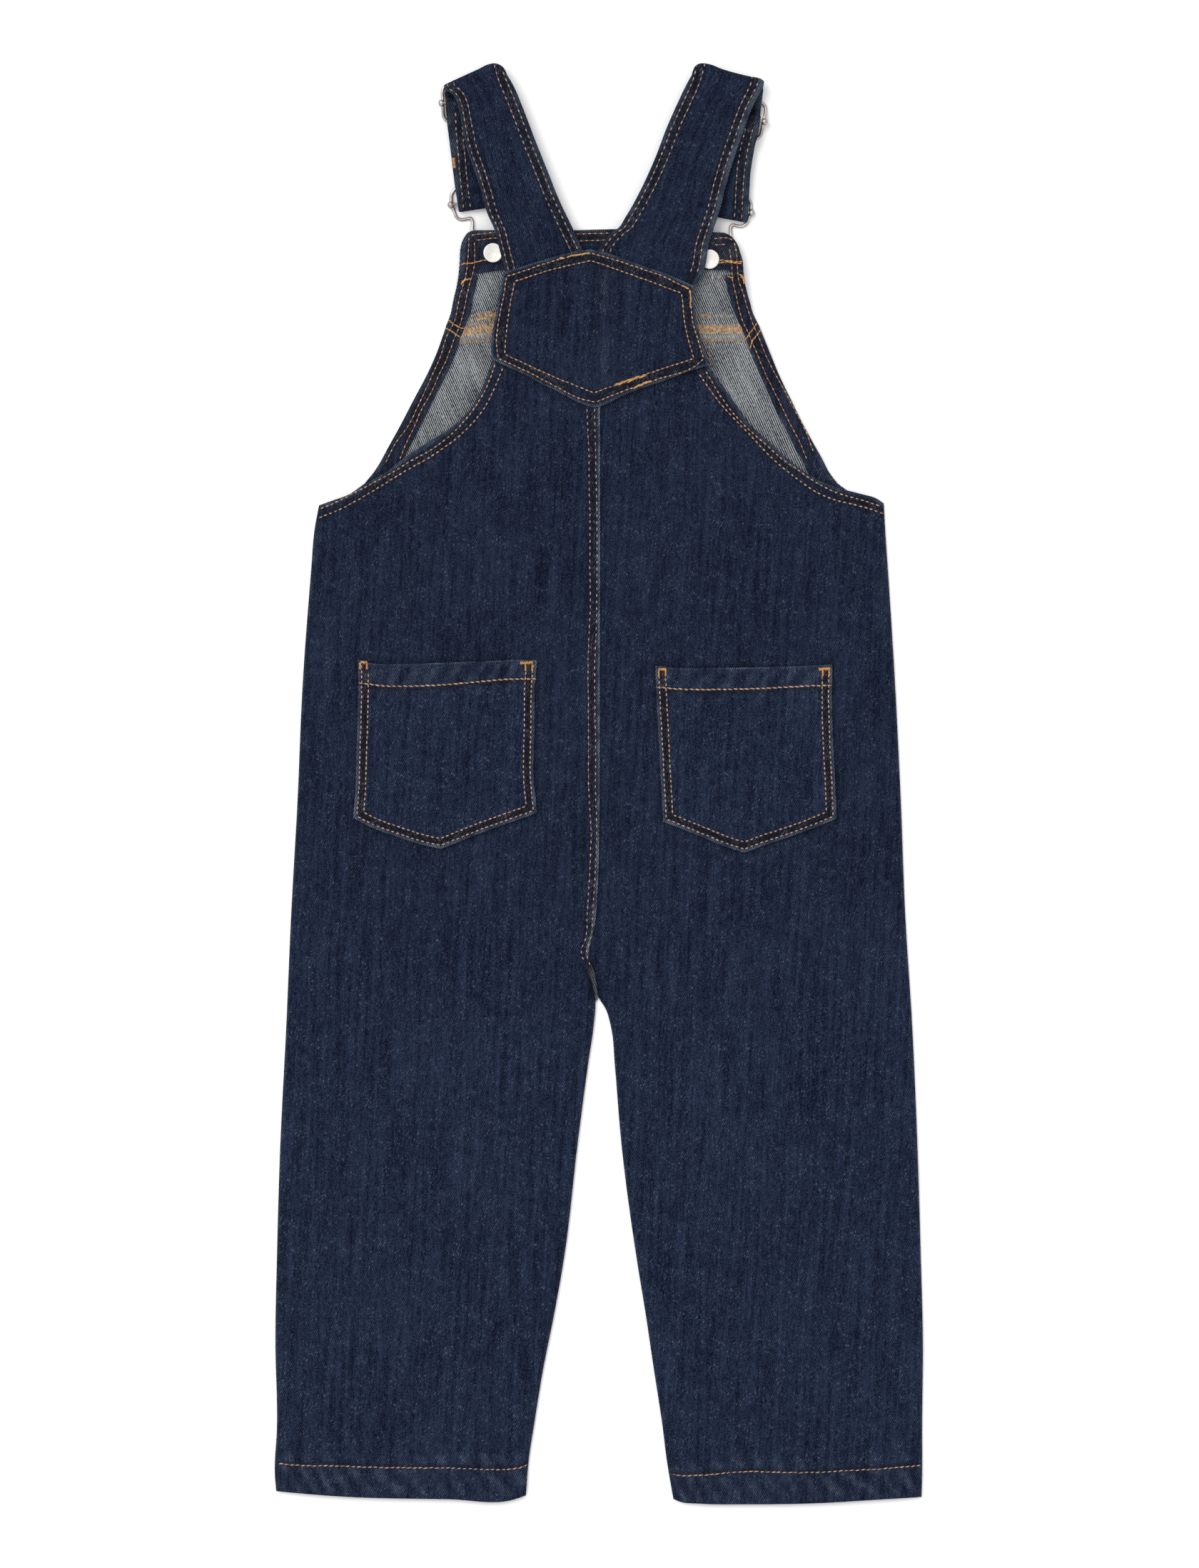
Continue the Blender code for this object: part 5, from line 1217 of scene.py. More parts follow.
class Leaning:
    """Plan directions of a strap's slide or hook: inward and up, leaning outward by its tilt."""

    def __init__(self, strap, part):
        out, lean = strap["out"], math.radians(strap[part + "_tilt"])
        self.origin = np.array(strap[part], float)
        self.inward = np.array((-out * math.cos(lean), math.sin(lean)))
        self.upward = np.array((out * math.sin(lean), math.cos(lean)))

    def point(self, inward, up):
        return self.origin + inward * self.inward + up * self.upward

    def up_of(self, plan):
        return (plan[0] - self.origin[0]) * self.upward[0] + (plan[1] - self.origin[1]) * self.upward[1]


def over_wire(distance):
    return smooth_step((6.6 - np.abs(distance)) / 5.4)


# %% Strap sections


def strap_sections(strap, shares):
    """Lines across the strap from the yoke to its sewn end, each an array of across, up, height at the shares of
    its width from the outer edge, with the name of the stretch that it belongs to."""
    slide, hook = Leaning(strap, "slide"), Leaning(strap, "hook")
    outer, inner, fold = Line(strap["back_outer"]), Line(strap["back_inner"]), Line(strap["fold"])
    front_outer, front_inner = Line(strap["front_outer"]), Line(strap["front_inner"])
    corner, last = fold.at(0.0), fold.at(1.0)
    along_fold = (last - corner) / np.linalg.norm(last - corner)
    away = np.array((-along_fold[1], along_fold[0])) * (1 if along_fold[0] > 0 else -1)
    folded = fold.at(shares)
    corner_out = along_fold[:, None] * 0.9 * shares ** 8        # rounds the fold's inner corner off

    def back(t):
        plan = (1 - shares) * outer.at(t)[:, None] + shares * inner.at(t)[:, None]
        if t > 0.93:
            on_fold = folded - away[:, None] * (FOLD_RADIUS + STRAP_CLOTH / 2) + corner_out
            plan = plan + smooth_step((t - 0.93) / 0.07) * (on_fold - plan)
        low = back_floor(*plan) + STRAP_CLOTH / 2
        return (*plan, low + smooth_step((plan[1] - 652) / 14) * (BACK_MIDDLE - low))

    def round_fold(angle):
        inside = 1 - math.sin(angle)
        plan = folded - away[:, None] * (FOLD_RADIUS * inside + STRAP_CLOTH / 2) + corner_out * inside
        return (*plan, MAIN_OVER_WIRE + FOLD_RADIUS * (1 + math.cos(angle)) + 0 * plan[0])

    def crossing(leaning, level):
        """Where a bar's line meets the strap's outer and inner edges, as their ups."""
        outer_up = inner_up = leaning.origin[1]
        for _ in range(6):
            outer_up += level - leaning.up_of((front_outer.across(outer_up), outer_up))
            inner_up += level - leaning.up_of((front_inner.across(inner_up), inner_up))
        return outer_up, inner_up

    fold_ups = (fold.at([0.0, 1.0]) - away[:, None] * (FOLD_RADIUS + STRAP_CLOTH / 2))[1]
    slide_ups, hook_ups = crossing(slide, 0.0), crossing(hook, HOOK_BAR_UP)

    def plan_at(q):
        """Line across at q: 0 at the fold, 1 at the slide's bar, 2 at the hook's crossbar."""
        a, b = (fold_ups, slide_ups) if q < 1 else (slide_ups, hook_ups)
        s = q if q < 1 else q - 1
        outer_up, inner_up = a[0] + s * (b[0] - a[0]), a[1] + s * (b[1] - a[1])
        start = np.array((front_outer.across(outer_up), outer_up))[:, None]
        end = np.array((front_inner.across(inner_up), inner_up))[:, None]
        plan = (1 - shares) * start + shares * end
        if q < 1:
            bow = folded - ((1 - shares) * corner[:, None] + shares * last[:, None])
            plan = plan + bow * (1 - smooth_step(q * 1.4))
        return plan

    def main_height(plan, q):
        over = np.max([over_wire(slide.up_of(plan) - SLIDE_HALF_HEIGHT),
                       over_wire(slide.up_of(plan) + SLIDE_HALF_HEIGHT),
                       over_wire(hook.up_of(plan) - HOOK_TOP_UP), smooth_step(1 - q * 3) + 0 * plan[0]], axis=0)
        return MAIN_LOW + over * (MAIN_OVER_WIRE - MAIN_LOW)

    def main(q):
        plan = plan_at(q)
        return (*plan, main_height(plan, q))

    def returning(q):
        plan = plan_at(q)
        over_end = smooth_step((slide.up_of(plan) + STRAP_END_DROP + 5.0) / 4.0)
        height = main_height(plan, q) + LAYER * (1 + over_end)
        height = np.maximum(height, MAIN_LOW + over_wire(hook.up_of(plan) - HOOK_BAR_UP) * 2 * BAR_WRAP)
        near_slide = smooth_step(slide.up_of(plan) + SLIDE_HALF_HEIGHT + 1.0)
        return (*plan, height + near_slide * (BACK_MIDDLE - LAYER - height))

    def ending(q):
        plan = plan_at(q)
        return (*plan, main_height(plan, q) + LAYER)

    def wrap(q, leaning, direction, low, angle, hang=(0.0, 0.0)):
        """Round a bar; the cloth may hang past it, by one length at its outer edge and another at its inner."""
        reach = (BAR_WRAP + (1 - shares) * hang[0] + shares * hang[1]) * math.sin(angle)
        plan = plan_at(q) + direction * leaning.upward[:, None] * reach
        return (*plan, low + BAR_WRAP * (1 - math.cos(angle)) + 0 * plan[0])

    turn = [math.pi * k / 12 for k in range(1, 12)]
    down = np.unique(np.concatenate((np.linspace(0, 1, 34), np.linspace(0.14, 0.30, 9))))
    sections = [("back", back(t)) for t in (*np.linspace(0, 0.93, 64), 0.95, 0.965, 0.98)]
    sections += [("fold", round_fold(angle)) for angle in (0.0, *turn, math.pi)]
    sections += [("main", main(q)) for q in np.linspace(0, 1, 15)[1:]]
    sections += [("under", main(1 + s)) for s in down[1:]]
    sections += [("under" if angle < 2.0 else "return", wrap(2.0, hook, -1, MAIN_LOW, angle, strap["hang"]))
                 for angle in turn]
    sections += [("return", returning(1 + s)) for s in down[::-1]]
    sections += [("bar", wrap(1.0, slide, 1, MAIN_LOW + LAYER, math.pi - angle)) for angle in turn]
    sections += [("end", ending(1 + s)) for s in down if s < STRAP_END_SHARE]
    return [name for name, _ in sections], np.array([np.stack(section) for _, section in sections])


# %% Straps
strap_shapes = {}
for side, strap in STRAPS.items():
    shares = spread(40.0, 2.0)
    names, places = strap_sections(strap, shares)            # sections, (across, up, height), shares
    if strap["out"] > 0:
        shares, places = 1 - shares[::-1], places[:, :, ::-1]
    wide = np.linalg.norm(places[:, :2, -1] - places[:, :2, 0], axis=1)
    middle = places[:, :, len(shares) // 2]
    along = np.concatenate(([0.0], np.cumsum(np.linalg.norm(np.diff(middle, axis=0), axis=1))))
    outward = (shares if strap["out"] < 0 else 1 - shares)[None, :] * wide[:, None]
    inward = wide[:, None] - outward
    returning = np.array([name == "return" for name in names])[:, None]
    first, last = names.index("return"), len(names) - 1 - names[::-1].index("return")
    up_return = np.clip((np.arange(len(names)) - first) / (last - first), 0, 1)[:, None]
    first_row, second_row = (np.where(returning, low + (high - low) * up_return, depth)
                             for (low, high), depth in zip(strap["return_rows"], strap["rows"]))
    edge_wear = np.where(returning, 0.35, strap["edge_wear"])
    wear = np.maximum(smooth_step((first_row - outward) / 0.9) * edge_wear,
                      0.25 * smooth_step((INNER_ROWS[0] - inward) / 0.9))
    # shade: painted shade between the twin rows and in the dents of their stitches, painted shadow on the return next
    # to the slide, and 0.2 all over, which makes the straps a little darker overall
    shade = np.max([under_rows(np.abs(outward - first_row), np.abs(outward - second_row), 3.5),
                    under_rows(np.abs(inward - INNER_ROWS[0]), np.abs(inward - INNER_ROWS[1]), 3.8),
                    0.2 + 0.75 * smooth_step((up_return - 0.62) / 0.14) * returning + 0 * inward], axis=0)
    ripple = (0.16 * np.sin(along / 6.3)[:, None] * np.sin(outward / 5.0 + 1.0)
              * smooth_step(np.minimum(outward, inward) / 6))
    ripple = ripple * np.array([name in ("back", "return") for name in names])[:, None]
    strap_shapes[side] = dict(names=names, places=places, outward=outward, inward=inward)

    def strap_surface(u, v):
        row, column = np.rint(v * (len(places) - 1)).astype(int), np.rint(u * (len(shares) - 1)).astype(int)
        spot = places[row, :, column]
        from_left = outward[row, column] * (1 if side == "left" else -1)
        return (spot[:, 0], spot[:, 1], spot[:, 2] + ripple[row, column], wear[row, column], shade[row, column],
                from_left, along[row])

    strap_piece = cloth(f"strap_{side}_denim", np.arange(len(shares)) / (len(shares) - 1),
                        np.arange(len(places)) / (len(places) - 1), strap_surface, STRAP_CLOTH,
                        [f"strap_{side}"], "denim", (denim, denim), offset=0.0)
    thin = strap_piece.vertex_groups.new(name="edge thickness")
    near = np.minimum(outward, inward).ravel()
    for low, high, share in ((-1, 0.1, 0.25), (0.1, 0.5, 0.62), (0.5, 1.0, 0.86), (1.0, 99, 1.0)):
        thin.add([int(i) for i in np.flatnonzero((near >= low) & (near < high))], share, "REPLACE")
    thickness = strap_piece.modifiers["thickness"]
    thickness.vertex_group = "edge thickness"
    print("strap", side, "is", round(along[-1]), "mm long")

# %% [markdown]
# ## Stitches
#
# Topstitching is a row of short floats of thick thread, each dipping into the cloth at both ends. One float is a
# small stretched ball with a few dozen faces, half sunk in the cloth, and a row is many of them a stitch apart,
# each a little off, as a machine on thick denim sews. A texture of dashes would stay flat and would have to bend
# with each seam. Real small floats catch the light and follow every wave, because each is laid on the height of the
# piece that it is sewn to.

# %% A sewing machine
STITCH, STITCH_LONG, STITCH_WIDE, STITCH_THICK = 3.5, 2.35, 0.76, 0.58
FLOAT_MIDDLE = STITCH_THICK / 2 - 0.1 - 0.12    # above the cloth's face, so that a float lies half sunk

bm = bmesh.new()
bmesh.ops.create_uvsphere(bm, u_segments=6, v_segments=5, radius=1.0)
for face in bm.faces:
    face.smooth = True
one_float = bpy.data.meshes.new("one float")
bm.to_mesh(one_float)
bm.free()
# How much painted shade each point of a float gets: none in its middle, most at its ends, where it goes into the
# cloth
dip_shade_of_one = smooth_step((np.abs([v.co.z for v in one_float.vertices]) - 0.3) / 0.6)


class Sewing:
    """Gathers the floats of one thread for one piece."""

    def __init__(self, seed):
        self.bm = bmesh.new()
        self.dip_shades = []
        self.dice = random.Random(seed)

    def float_between(self, start, end, up, wide=STITCH_WIDE, thick=STITCH_THICK, dip_shade=0.0):
        """One float; places in metres, sizes in millimetres."""
        # painted shade at the float's ends, or all over it for a linking float
        self.dip_shades.append(np.maximum(dip_shade_of_one, dip_shade))
        start, end, up = Vector(start), Vector(end), Vector(up)
        along = (end - start).normalized()
        side = along.cross(up).normalized()
        turn = Matrix((side * wide / 2 * MM, side.cross(along) * thick / 2 * MM, (end - start) / 2)).transposed()
        place = Matrix.Translation((start + end) / 2) @ turn.to_4x4()
        one_float.transform(place)
        self.bm.from_mesh(one_float)
        one_float.transform(place.inverted())

    def row(self, points, height, pitch, long, wide=STITCH_WIDE, slant=0.0, loose=0.12):
        """Floats along points on the cutting table, at the height that the piece has there."""
        line = points if isinstance(points, Line) else Line(points, 4)
        count = max(1, round(line.length / pitch))
        middles = (np.arange(count) + 0.5) / count * line.length
        middles += [self.dice.uniform(-loose, loose) for _ in middles]
        longs = [long * self.dice.uniform(0.88, 1.08) for _ in middles]
        sways = [self.dice.uniform(-loose, loose) * 0.7 for _ in middles]
        half = np.array(longs) / 2
        start, end = line.at((middles - half) / line.length), line.at((middles + half) / line.length)
        along = (end - start) / (np.linalg.norm(end - start, axis=0) + 1e-9)
        across = np.stack([-along[1], along[0]])
        start, end = start + across * (sways - half * slant), end + across * (sways + half * slant)
        starts, ends = (world(*place, height(*place) + FLOAT_MIDDLE) for place in (start, end))
        for a, b in zip(starts, ends):
            self.float_between(a, b, (0, 0, 1), wide)
        self.link(starts, ends, (0, 0, 1))

    def link(self, starts, ends, up):
        """Between two floats the thread goes into the cloth; a thin float there, painted dark all over, paints the
        shade of the pit between them.
        """
        for a, b in zip(ends[:-1], starts[1:]):
            reach = b - a
            if 0 < np.linalg.norm(reach) < 2.2 * MM:
                down = np.array(up) * 0.16 * MM
                self.float_between(a - reach * 0.35 - down, b + reach * 0.35 - down, up, 0.4, 0.3, dip_shade=1.0)

    def tack(self, start, end, wide, height):
        """A bar tack from start to end: close floats across it."""
        start, end = np.array(start, float), np.array(end, float)
        along = (end - start) / np.linalg.norm(end - start)
        across = np.array((-along[1], along[0])) * wide / 2
        count = max(3, round(np.linalg.norm(end - start) / 0.55))
        for k in range(count):
            middle = start + (end - start) * (k + 0.5) / count
            lean = along * self.dice.uniform(-0.25, 0.25)
            ends = [middle - across * self.dice.uniform(0.85, 1.15) - lean,
                    middle + across * self.dice.uniform(0.85, 1.15) + lean]
            heights = height(*np.array(ends).T) + 0.22
            spots = world(*np.array(ends).T, heights)
            self.float_between(spots[0], spots[1], (0, 0, 1), 0.7, 0.62)

    def piece(self, name, finish):
        mesh = bpy.data.meshes.new(name)
        self.bm.to_mesh(mesh)
        self.bm.free()
        dip_shades = np.concatenate(self.dip_shades).astype(np.float32)
        mesh.attributes.new("dip_shade", "FLOAT", "POINT").data.foreach_set("value", dip_shades)
        print(name, len(mesh.polygons), "faces")
        new_piece(name, mesh, (), None, finish)


# %% Stitches on the back
def height_of(finish_at):
    return lambda across, up: finish_at(across, up)[0]


back_heights = {side: height_of(back_finishes[side]) for side in ("left", "right")}
sewing = Sewing(1)
for side in ("left", "right"):
    for row in ARM_ROWS[side]:
        sewing.row(row, back_heights[side], pitch=2.8, long=2.0)
for side, row in (("left", LEFT_HEM_ROW), ("right", RIGHT_HEM_ROW)):
    sewing.row(row, back_heights[side], pitch=2.9, long=2.85, wide=0.7, slant=0.14, loose=0.2)
sewing.piece("back_topstitching", golden_thread)
sewing = Sewing(10)
for row in (SEAM_LEFT_ROW, SEAM_RIGHT_ROW):
    sewing.row(row, back_heights["left"], pitch=3.4, long=2.1, wide=0.72)
sewing.piece("seat_seam_topstitching", faded_thread)

# %% Stitches on the pockets and the yoke
pocket_heights = {side: height_of(pocket_finishes[side]) for side in POCKETS}
golden, orange = Sewing(2), Sewing(3)
for side, shape in POCKETS.items():
    height = pocket_heights[side]
    for rows in POCKET_ROWS[side]:
        for row in rows:
            golden.row(row, height, pitch=2.65, long=2.05)
    golden.row(POCKET_HEM_ROWS[side], height, pitch=2.9, long=2.95, wide=0.9, slant=-0.18)
for (x0, y0, x1, y1, wide), side in (((-123.6, 436.4, -120.2, 436.0, 1.7), "left"),
                                     ((-123.9, 436.0, -123.9, 432.6, 1.2), "left"),
                                     ((-120.4, 436.0, -120.4, 432.6, 1.2), "left"),
                                     ((-41.1, 435.8, -34.4, 436.0, 1.8), "left"),
                                     ((-38.3, 435.0, -38.3, 431.8, 1.1), "left"),
                                     ((-34.8, 435.0, -34.8, 431.8, 1.1), "left"),
                                     ((30.6, 432.6, 34.6, 432.4, 1.7), "right"),
                                     ((30.7, 432.4, 30.7, 428.9, 1.1), "right"),
                                     ((34.2, 432.4, 34.2, 428.9, 1.1), "right"),
                                     ((113.5, 432.6, 119.4, 433.0, 1.8), "right"),
                                     ((115.6, 432.0, 115.6, 428.9, 1.1), "right"),
                                     ((118.9, 432.0, 118.9, 428.9, 1.1), "right")):
    orange.tack((x0, y0), (x1, y1), wide, pocket_heights[side])
golden.piece("pocket_topstitching", golden_thread)

yoke_height = height_of(yoke_finish)
golden = Sewing(4)
for rows in YOKE_ROWS:
    for row in rows:
        golden.row(row, yoke_height, pitch=2.65, long=1.95)
for row in (((17.4, 578.0), (22.2, 580.0), (26.8, 582.0)), ((8.0, 580.1), (15.5, 582.3), (20.5, 584.2)),
            ((8.4, 579.7), (15.8, 581.9), (24.7, 585.2)), ((18.0, 578.5), (24.8, 581.4)),
            ((-21.0, 645.0), (-18.6, 645.6)), ((-17.0, 645.9), (-9.0, 647.6), (-4.8, 648.1)),
            ((42.6, 631.2), (46.4, 629.2)), ((46.8, 629.0), (47.0, 624.2), (47.3, 619.5))):
    orange.row(row, yoke_height, pitch=1.5, long=2.5, wide=0.85, slant=0.22, loose=0.4)
golden.piece("yoke_topstitching", golden_thread)
orange.piece("tacks_and_backstitches", orange_thread)

# %% Stitches inside the bib
ACROSS_FACING = (((-71.8, 642.0), (-68.0, 642.9), (-64.8, 643.1), (-57.4, 644.9), (-46.0, 645.3)),
                 ((59.5, 643.9), (64.0, 644.5), (69.0, 643.8), (74.2, 643.4)),
                 ((60.5, 643.2), (66.0, 643.4), (73.8, 642.7)))


def over_inside(across, up):
    """Height of what lies uppermost inside: facing, side hem, or bib."""
    trim = np.where(up > FACING_LOW_UP, True, nearest((left_bib_edge, right_bib_edge, left_front_edge,
                                                       right_front_edge), across, up) < SIDE_HEM_WIDE)
    return front_floor(across, up) + CLOTH + np.where(trim, 0.15 + TRIM_CLOTH, 0.0)


golden, orange, white = Sewing(5), Sewing(6), Sewing(7)
for rows in inside_rows:
    for row in rows:
        golden.row(row, over_inside, pitch=3.0, wide=0.66, long=2.0)
for row in ACROSS_FACING:
    orange.row(row, over_inside, pitch=2.4, wide=0.75, long=2.7, slant=0.15, loose=0.35)
for row in (((-78.6, 613.8), (-75.0, 611.0), (-70.3, 608.8)), ((-80.0, 609.8), (-75.0, 606.8), (-71.0, 603.6)),
            ((81.6, 612.2), (78.0, 607.0), (75.3, 602.7)), ((83.8, 608.6), (80.4, 604.6), (77.7, 598.8))):
    orange.row(row, over_inside, pitch=1.9, wide=0.7, long=2.4, slant=0.15, loose=0.3)
for row in (((-71.8, 631.7), (-69.6, 634.2), (-66.8, 635.0)), ((-71.4, 632.8), (-68.9, 635.4)),
            ((72.2, 637.0), (74.2, 636.2), (75.4, 632.4)), ((73.0, 636.2), (74.6, 634.6), (75.0, 632.0)),
            ((64.8, 635.4), (66.6, 636.2), (68.4, 635.0), (69.6, 635.8))):
    orange.row(row, over_inside, pitch=1.3, wide=0.75, long=1.9, loose=0.25)


def overlock(left, right, low, high, pitch, seed, share_white):
    """Loops over a raw edge: threads that lean to and fro between two levels."""
    dice = random.Random(seed)
    for k in range(int((right - left) / pitch)):
        across = left + k * pitch + dice.uniform(-0.2, 0.2)
        ends = np.array([(across, low + dice.uniform(-0.4, 0.4)),
                         (across + dice.choice((-1, 1)) * dice.uniform(0.4, 1.6), high + dice.uniform(-0.5, 0.5))])
        spots = world(*ends.T, over_inside(*ends.T) + 0.45 + dice.uniform(0, 0.2))
        (white if dice.random() < share_white else golden).float_between(spots[0], spots[1], (0, 0, 1), 0.36, 0.3)


for loops in ((-66.5, -54.5, 614.6, 617.4, 1.0, 21, 0.2),
              (-69.5, -55.0, 606.6, 610.6, 0.9, 22, 0.2),
              (-69.5, -55.5, 604.0, 606.2, 0.9, 23, 0.6),
              (50.5, 59.5, 614.9, 616.4, 0.9, 24, 0.1),
              (51.5, 72.0, 606.9, 610.8, 0.6, 26, 0.12),
              (52.5, 72.5, 603.8, 606.0, 0.8, 27, 0.85),
              (59.0, 64.5, 634.2, 637.0, 0.7, 28, 0.7)):
    overlock(*loops)
for row in (((-70.3, 602.0), (-66.0, 603.2), (-61.0, 603.6), (-55.5, 604.6)),
            ((53.6, 602.6), (58.0, 603.0), (65.0, 602.8), (73.5, 603.6)),
            ((56.4, 602.0), (56.9, 597.0), (57.3, 591.0))):
    golden.row(row, over_inside, pitch=1.5, long=2.0, wide=0.6, loose=0.25)
golden.piece("bib_topstitching", golden_thread)
orange.piece("bib_tacks_and_overlocking", orange_thread)
white.piece("bib_raw_threads", white_thread)

# %% [markdown]
# ## Stitches on the straps
#
# A strap isn't flat, so its rows can't be laid by height. They follow its own sections instead: at each section the
# place a few millimetres in from the edge, moved out to the face of the cloth that shows there.

# %% Strap stitches


def along_strap(shape, stretches, edge, depth):
    """Places in metres along the strap at a depth in from an edge, and the directions away from its face."""
    rows = [i for i, name in enumerate(shape["names"]) if name in stretches]
    spots = []
    for i, here in zip(rows, np.broadcast_to(depth, len(rows))):
        from_edge = shape[edge][i]
        order = np.argsort(from_edge)
        spots.append([np.interp(here, from_edge[order], shape["places"][i, k][order]) for k in range(3)])
    spots = world(*np.array(spots).T)
    first, last = world(*shape["places"][rows][:, :, 0].T), world(*shape["places"][rows][:, :, -1].T)
    outward = np.cross(last - first, np.gradient(spots, axis=0))
    outward /= np.linalg.norm(outward, axis=1)[:, None]
    return spots, outward


def strap_row(sewing, spots, faces, low=0.0, high=1.0):
    travel = np.concatenate(([0.0], np.cumsum(np.linalg.norm(np.diff(spots, axis=0), axis=1)))) / MM
    starts, ends = [], []
    for middle in np.arange(travel[-1] * low + STITCH / 2, travel[-1] * high, STITCH):
        middle += sewing.dice.uniform(-0.12, 0.12)
        half = STITCH_LONG / 2 * sewing.dice.uniform(0.88, 1.08)
        sway = sewing.dice.uniform(-0.07, 0.07) * MM
        at = [np.array([np.interp(middle + step, travel, spots[:, k]) for k in range(3)]) for step in (-half, half)]
        face = np.array([np.interp(middle, travel, faces[:, k]) for k in range(3)])
        side = np.cross(at[1] - at[0], face)
        lift = face * (STRAP_CLOTH / 2 + FLOAT_MIDDLE) * MM + side / np.linalg.norm(side) * sway
        starts, ends = [*starts, at[0] + lift], [*ends, at[1] + lift]
        sewing.float_between(starts[-1], ends[-1], face, STITCH_WIDE)
    sewing.link(starts, ends, faces[len(faces) // 2])


golden = Sewing(8)
for side, strap in STRAPS.items():
    shape = strap_shapes[side]
    for edge, depths in (("outward", strap["rows"]), ("inward", INNER_ROWS)):
        for depth in depths:
            strap_row(golden, *along_strap(shape, ("back", "fold"), edge, depth), low=0.13, high=0.985)
    for low, high in strap["return_rows"]:
        depths = np.linspace(low, high, shape["names"].count("return"))
        strap_row(golden, *along_strap(shape, ("return",), "outward", depths), high=0.93)
golden.piece("strap_topstitching", faded_thread)

orange = Sewing(9)                              # the left strap's end is tacked down at its edge
near, faces = along_strap(strap_shapes["left"], ("return",), "outward", 0.1)
far, _ = along_strap(strap_shapes["left"], ("return",), "outward", 1.9)
lift = faces[len(faces) // 2] * (STRAP_CLOTH / 2 + 0.15) * MM
for up in np.arange(692.6, 697.2, 0.5):
    y = world(0.0, up + orange.dice.uniform(-0.2, 0.2), 0.0)[1]
    start, end = (np.array([np.interp(y, line[:, 1], line[:, k]) for k in range(3)]) for line in (near, far))
    orange.float_between(start + lift, end + lift, faces[len(faces) // 2], 0.7, 0.62)
orange.piece("strap_end_tack", orange_thread)

# %% [markdown]
# ## Slides, hooks and buttons
#
# The slides and hooks are bent from one wire each, closed, with a bar between its sides whose ends are upset into
# small balls. A curve with a round section is the natural way to bend wire. It is made a mesh, because a finished
# piece keeps its place in its mesh. The buttons are turned: their section is drawn once and spun round.

# %% Wire and balls


def bent_wire(points):
    """A closed round wire through (across, up, height) points, as a bmesh."""
    curve = bpy.data.curves.new("wire", "CURVE")
    curve.dimensions = "3D"
    curve.bevel_depth = WIRE / 2 * MM
    curve.bevel_resolution = 5
    line = curve.splines.new("POLY")
    line.points.add(len(points) - 1)
    for spot, place in zip(line.points, world(*np.array(points).T)):
        spot.co = (*place, 1.0)
    line.use_cyclic_u = True
    holder = bpy.data.objects.new("wire", curve)
    bpy.context.scene.collection.objects.link(holder)
    mesh = bpy.data.meshes.new_from_object(holder.evaluated_get(bpy.context.evaluated_depsgraph_get()))
    bpy.data.objects.remove(holder)
    bm = bmesh.new()
    bm.from_mesh(mesh)
    bpy.data.meshes.remove(mesh)
    bmesh.ops.remove_doubles(bm, verts=bm.verts, dist=1e-7)
    bmesh.ops.recalc_face_normals(bm, faces=bm.faces)
    return bm


def add_bar(bm, middle, direction, half_length, height, ball_height, ball_radius=1.85):
    """A straight bar with a ball on each end."""
    turn = Matrix.Rotation(math.atan2(direction[1], direction[0]), 4, "Z")
    lay = Matrix.Translation(Vector(world(*middle, height))) @ turn @ Matrix.Rotation(math.pi / 2, 4, "Y")
    bmesh.ops.create_cone(bm, cap_ends=True, segments=20, radius1=WIRE / 2 * MM, radius2=WIRE / 2 * MM,
                          depth=2 * half_length * MM, matrix=lay)
    for end in (-half_length, half_length):
        place = Vector(world(*(np.array(middle) + end * np.array(direction)), ball_height))
        bmesh.ops.create_uvsphere(bm, u_segments=24, v_segments=14, radius=ball_radius * MM,
                                  matrix=Matrix.Translation(place) @ turn @ Matrix.Diagonal((0.86, 1.0, 1.0, 1.0)))


def metal_piece(name, bm, cad_node, finish):
    for face in bm.faces:
        face.smooth = True
    bm.normal_update()
    upright = np.array([v.normal.z for v in bm.verts])
    mesh = bpy.data.meshes.new(name)
    bm.to_mesh(mesh)
    bm.free()
    # the "side" mark, how far each place faces sideways, sets where the wire's sides get their painted shade
    side = smooth_step((0.80 - upright) / 0.65).astype(np.float32)
    mesh.attributes.new("side", "FLOAT", "POINT").data.foreach_set("value", side)
    print(name, len(mesh.polygons), "faces")
    new_piece(name, mesh, [cad_node], "silver_metal", finish)


def arc(centre, radius, start, end, steps=9):
    return [(centre[0] + radius * math.cos(math.radians(a)), centre[1] + radius * math.sin(math.radians(a)))
            for a in np.linspace(start, end, steps)]


# %% Slides and hooks
w, h, r = SLIDE_HALF_WIDTH, SLIDE_HALF_HEIGHT, SLIDE_CORNER
side_of_slide = [(w, float(up)) for up in np.linspace(h - r, r - h, 15)[1:-1]]
SLIDE_PLAN = (arc((w - r, h - r), r, 90, 0) + side_of_slide + arc((w - r, r - h), r, 0, -90)
              + arc((r - w, r - h), r, -90, -180) + [(-x, y) for x, y in side_of_slide[::-1]]
              + arc((r - w, h - r), r, 180, 90))
HOOK_HALF = ((0.0, 36.6), (8.0, 36.6), (12.4, 36.5), (14.4, 36.0), (16.1, 35.0), (17.5, 33.4), (18.1, 31.6),
             (18.3, 29.6), (18.4, 27.6), (17.9, 26.0), (17.5, 24.2), (17.2, 22.8), (16.8, 21.4), (15.8, 20.1),
             (14.2, 19.4), (12.2, 19.4), (10.4, 19.6), (9.4, 19.5), (8.9, 18.9), (8.7, 17.8), (8.9, 15.8),
             (9.3, 13.1), (9.4, 9.0), (8.3, 6.4), (4.9, 4.7), (3.6, 2.8), (3.6, -1.6), (2.6, -4.2))
HOOK_STEP = dict(left=0.0, right=0.8)           # how much higher one hook's shoulders are bent
HOOK_PLAN = Line((*HOOK_HALF, (0.0, -5.2), *[(-inward, up) for inward, up in HOOK_HALF[::-1]]), 4).points[:-1]

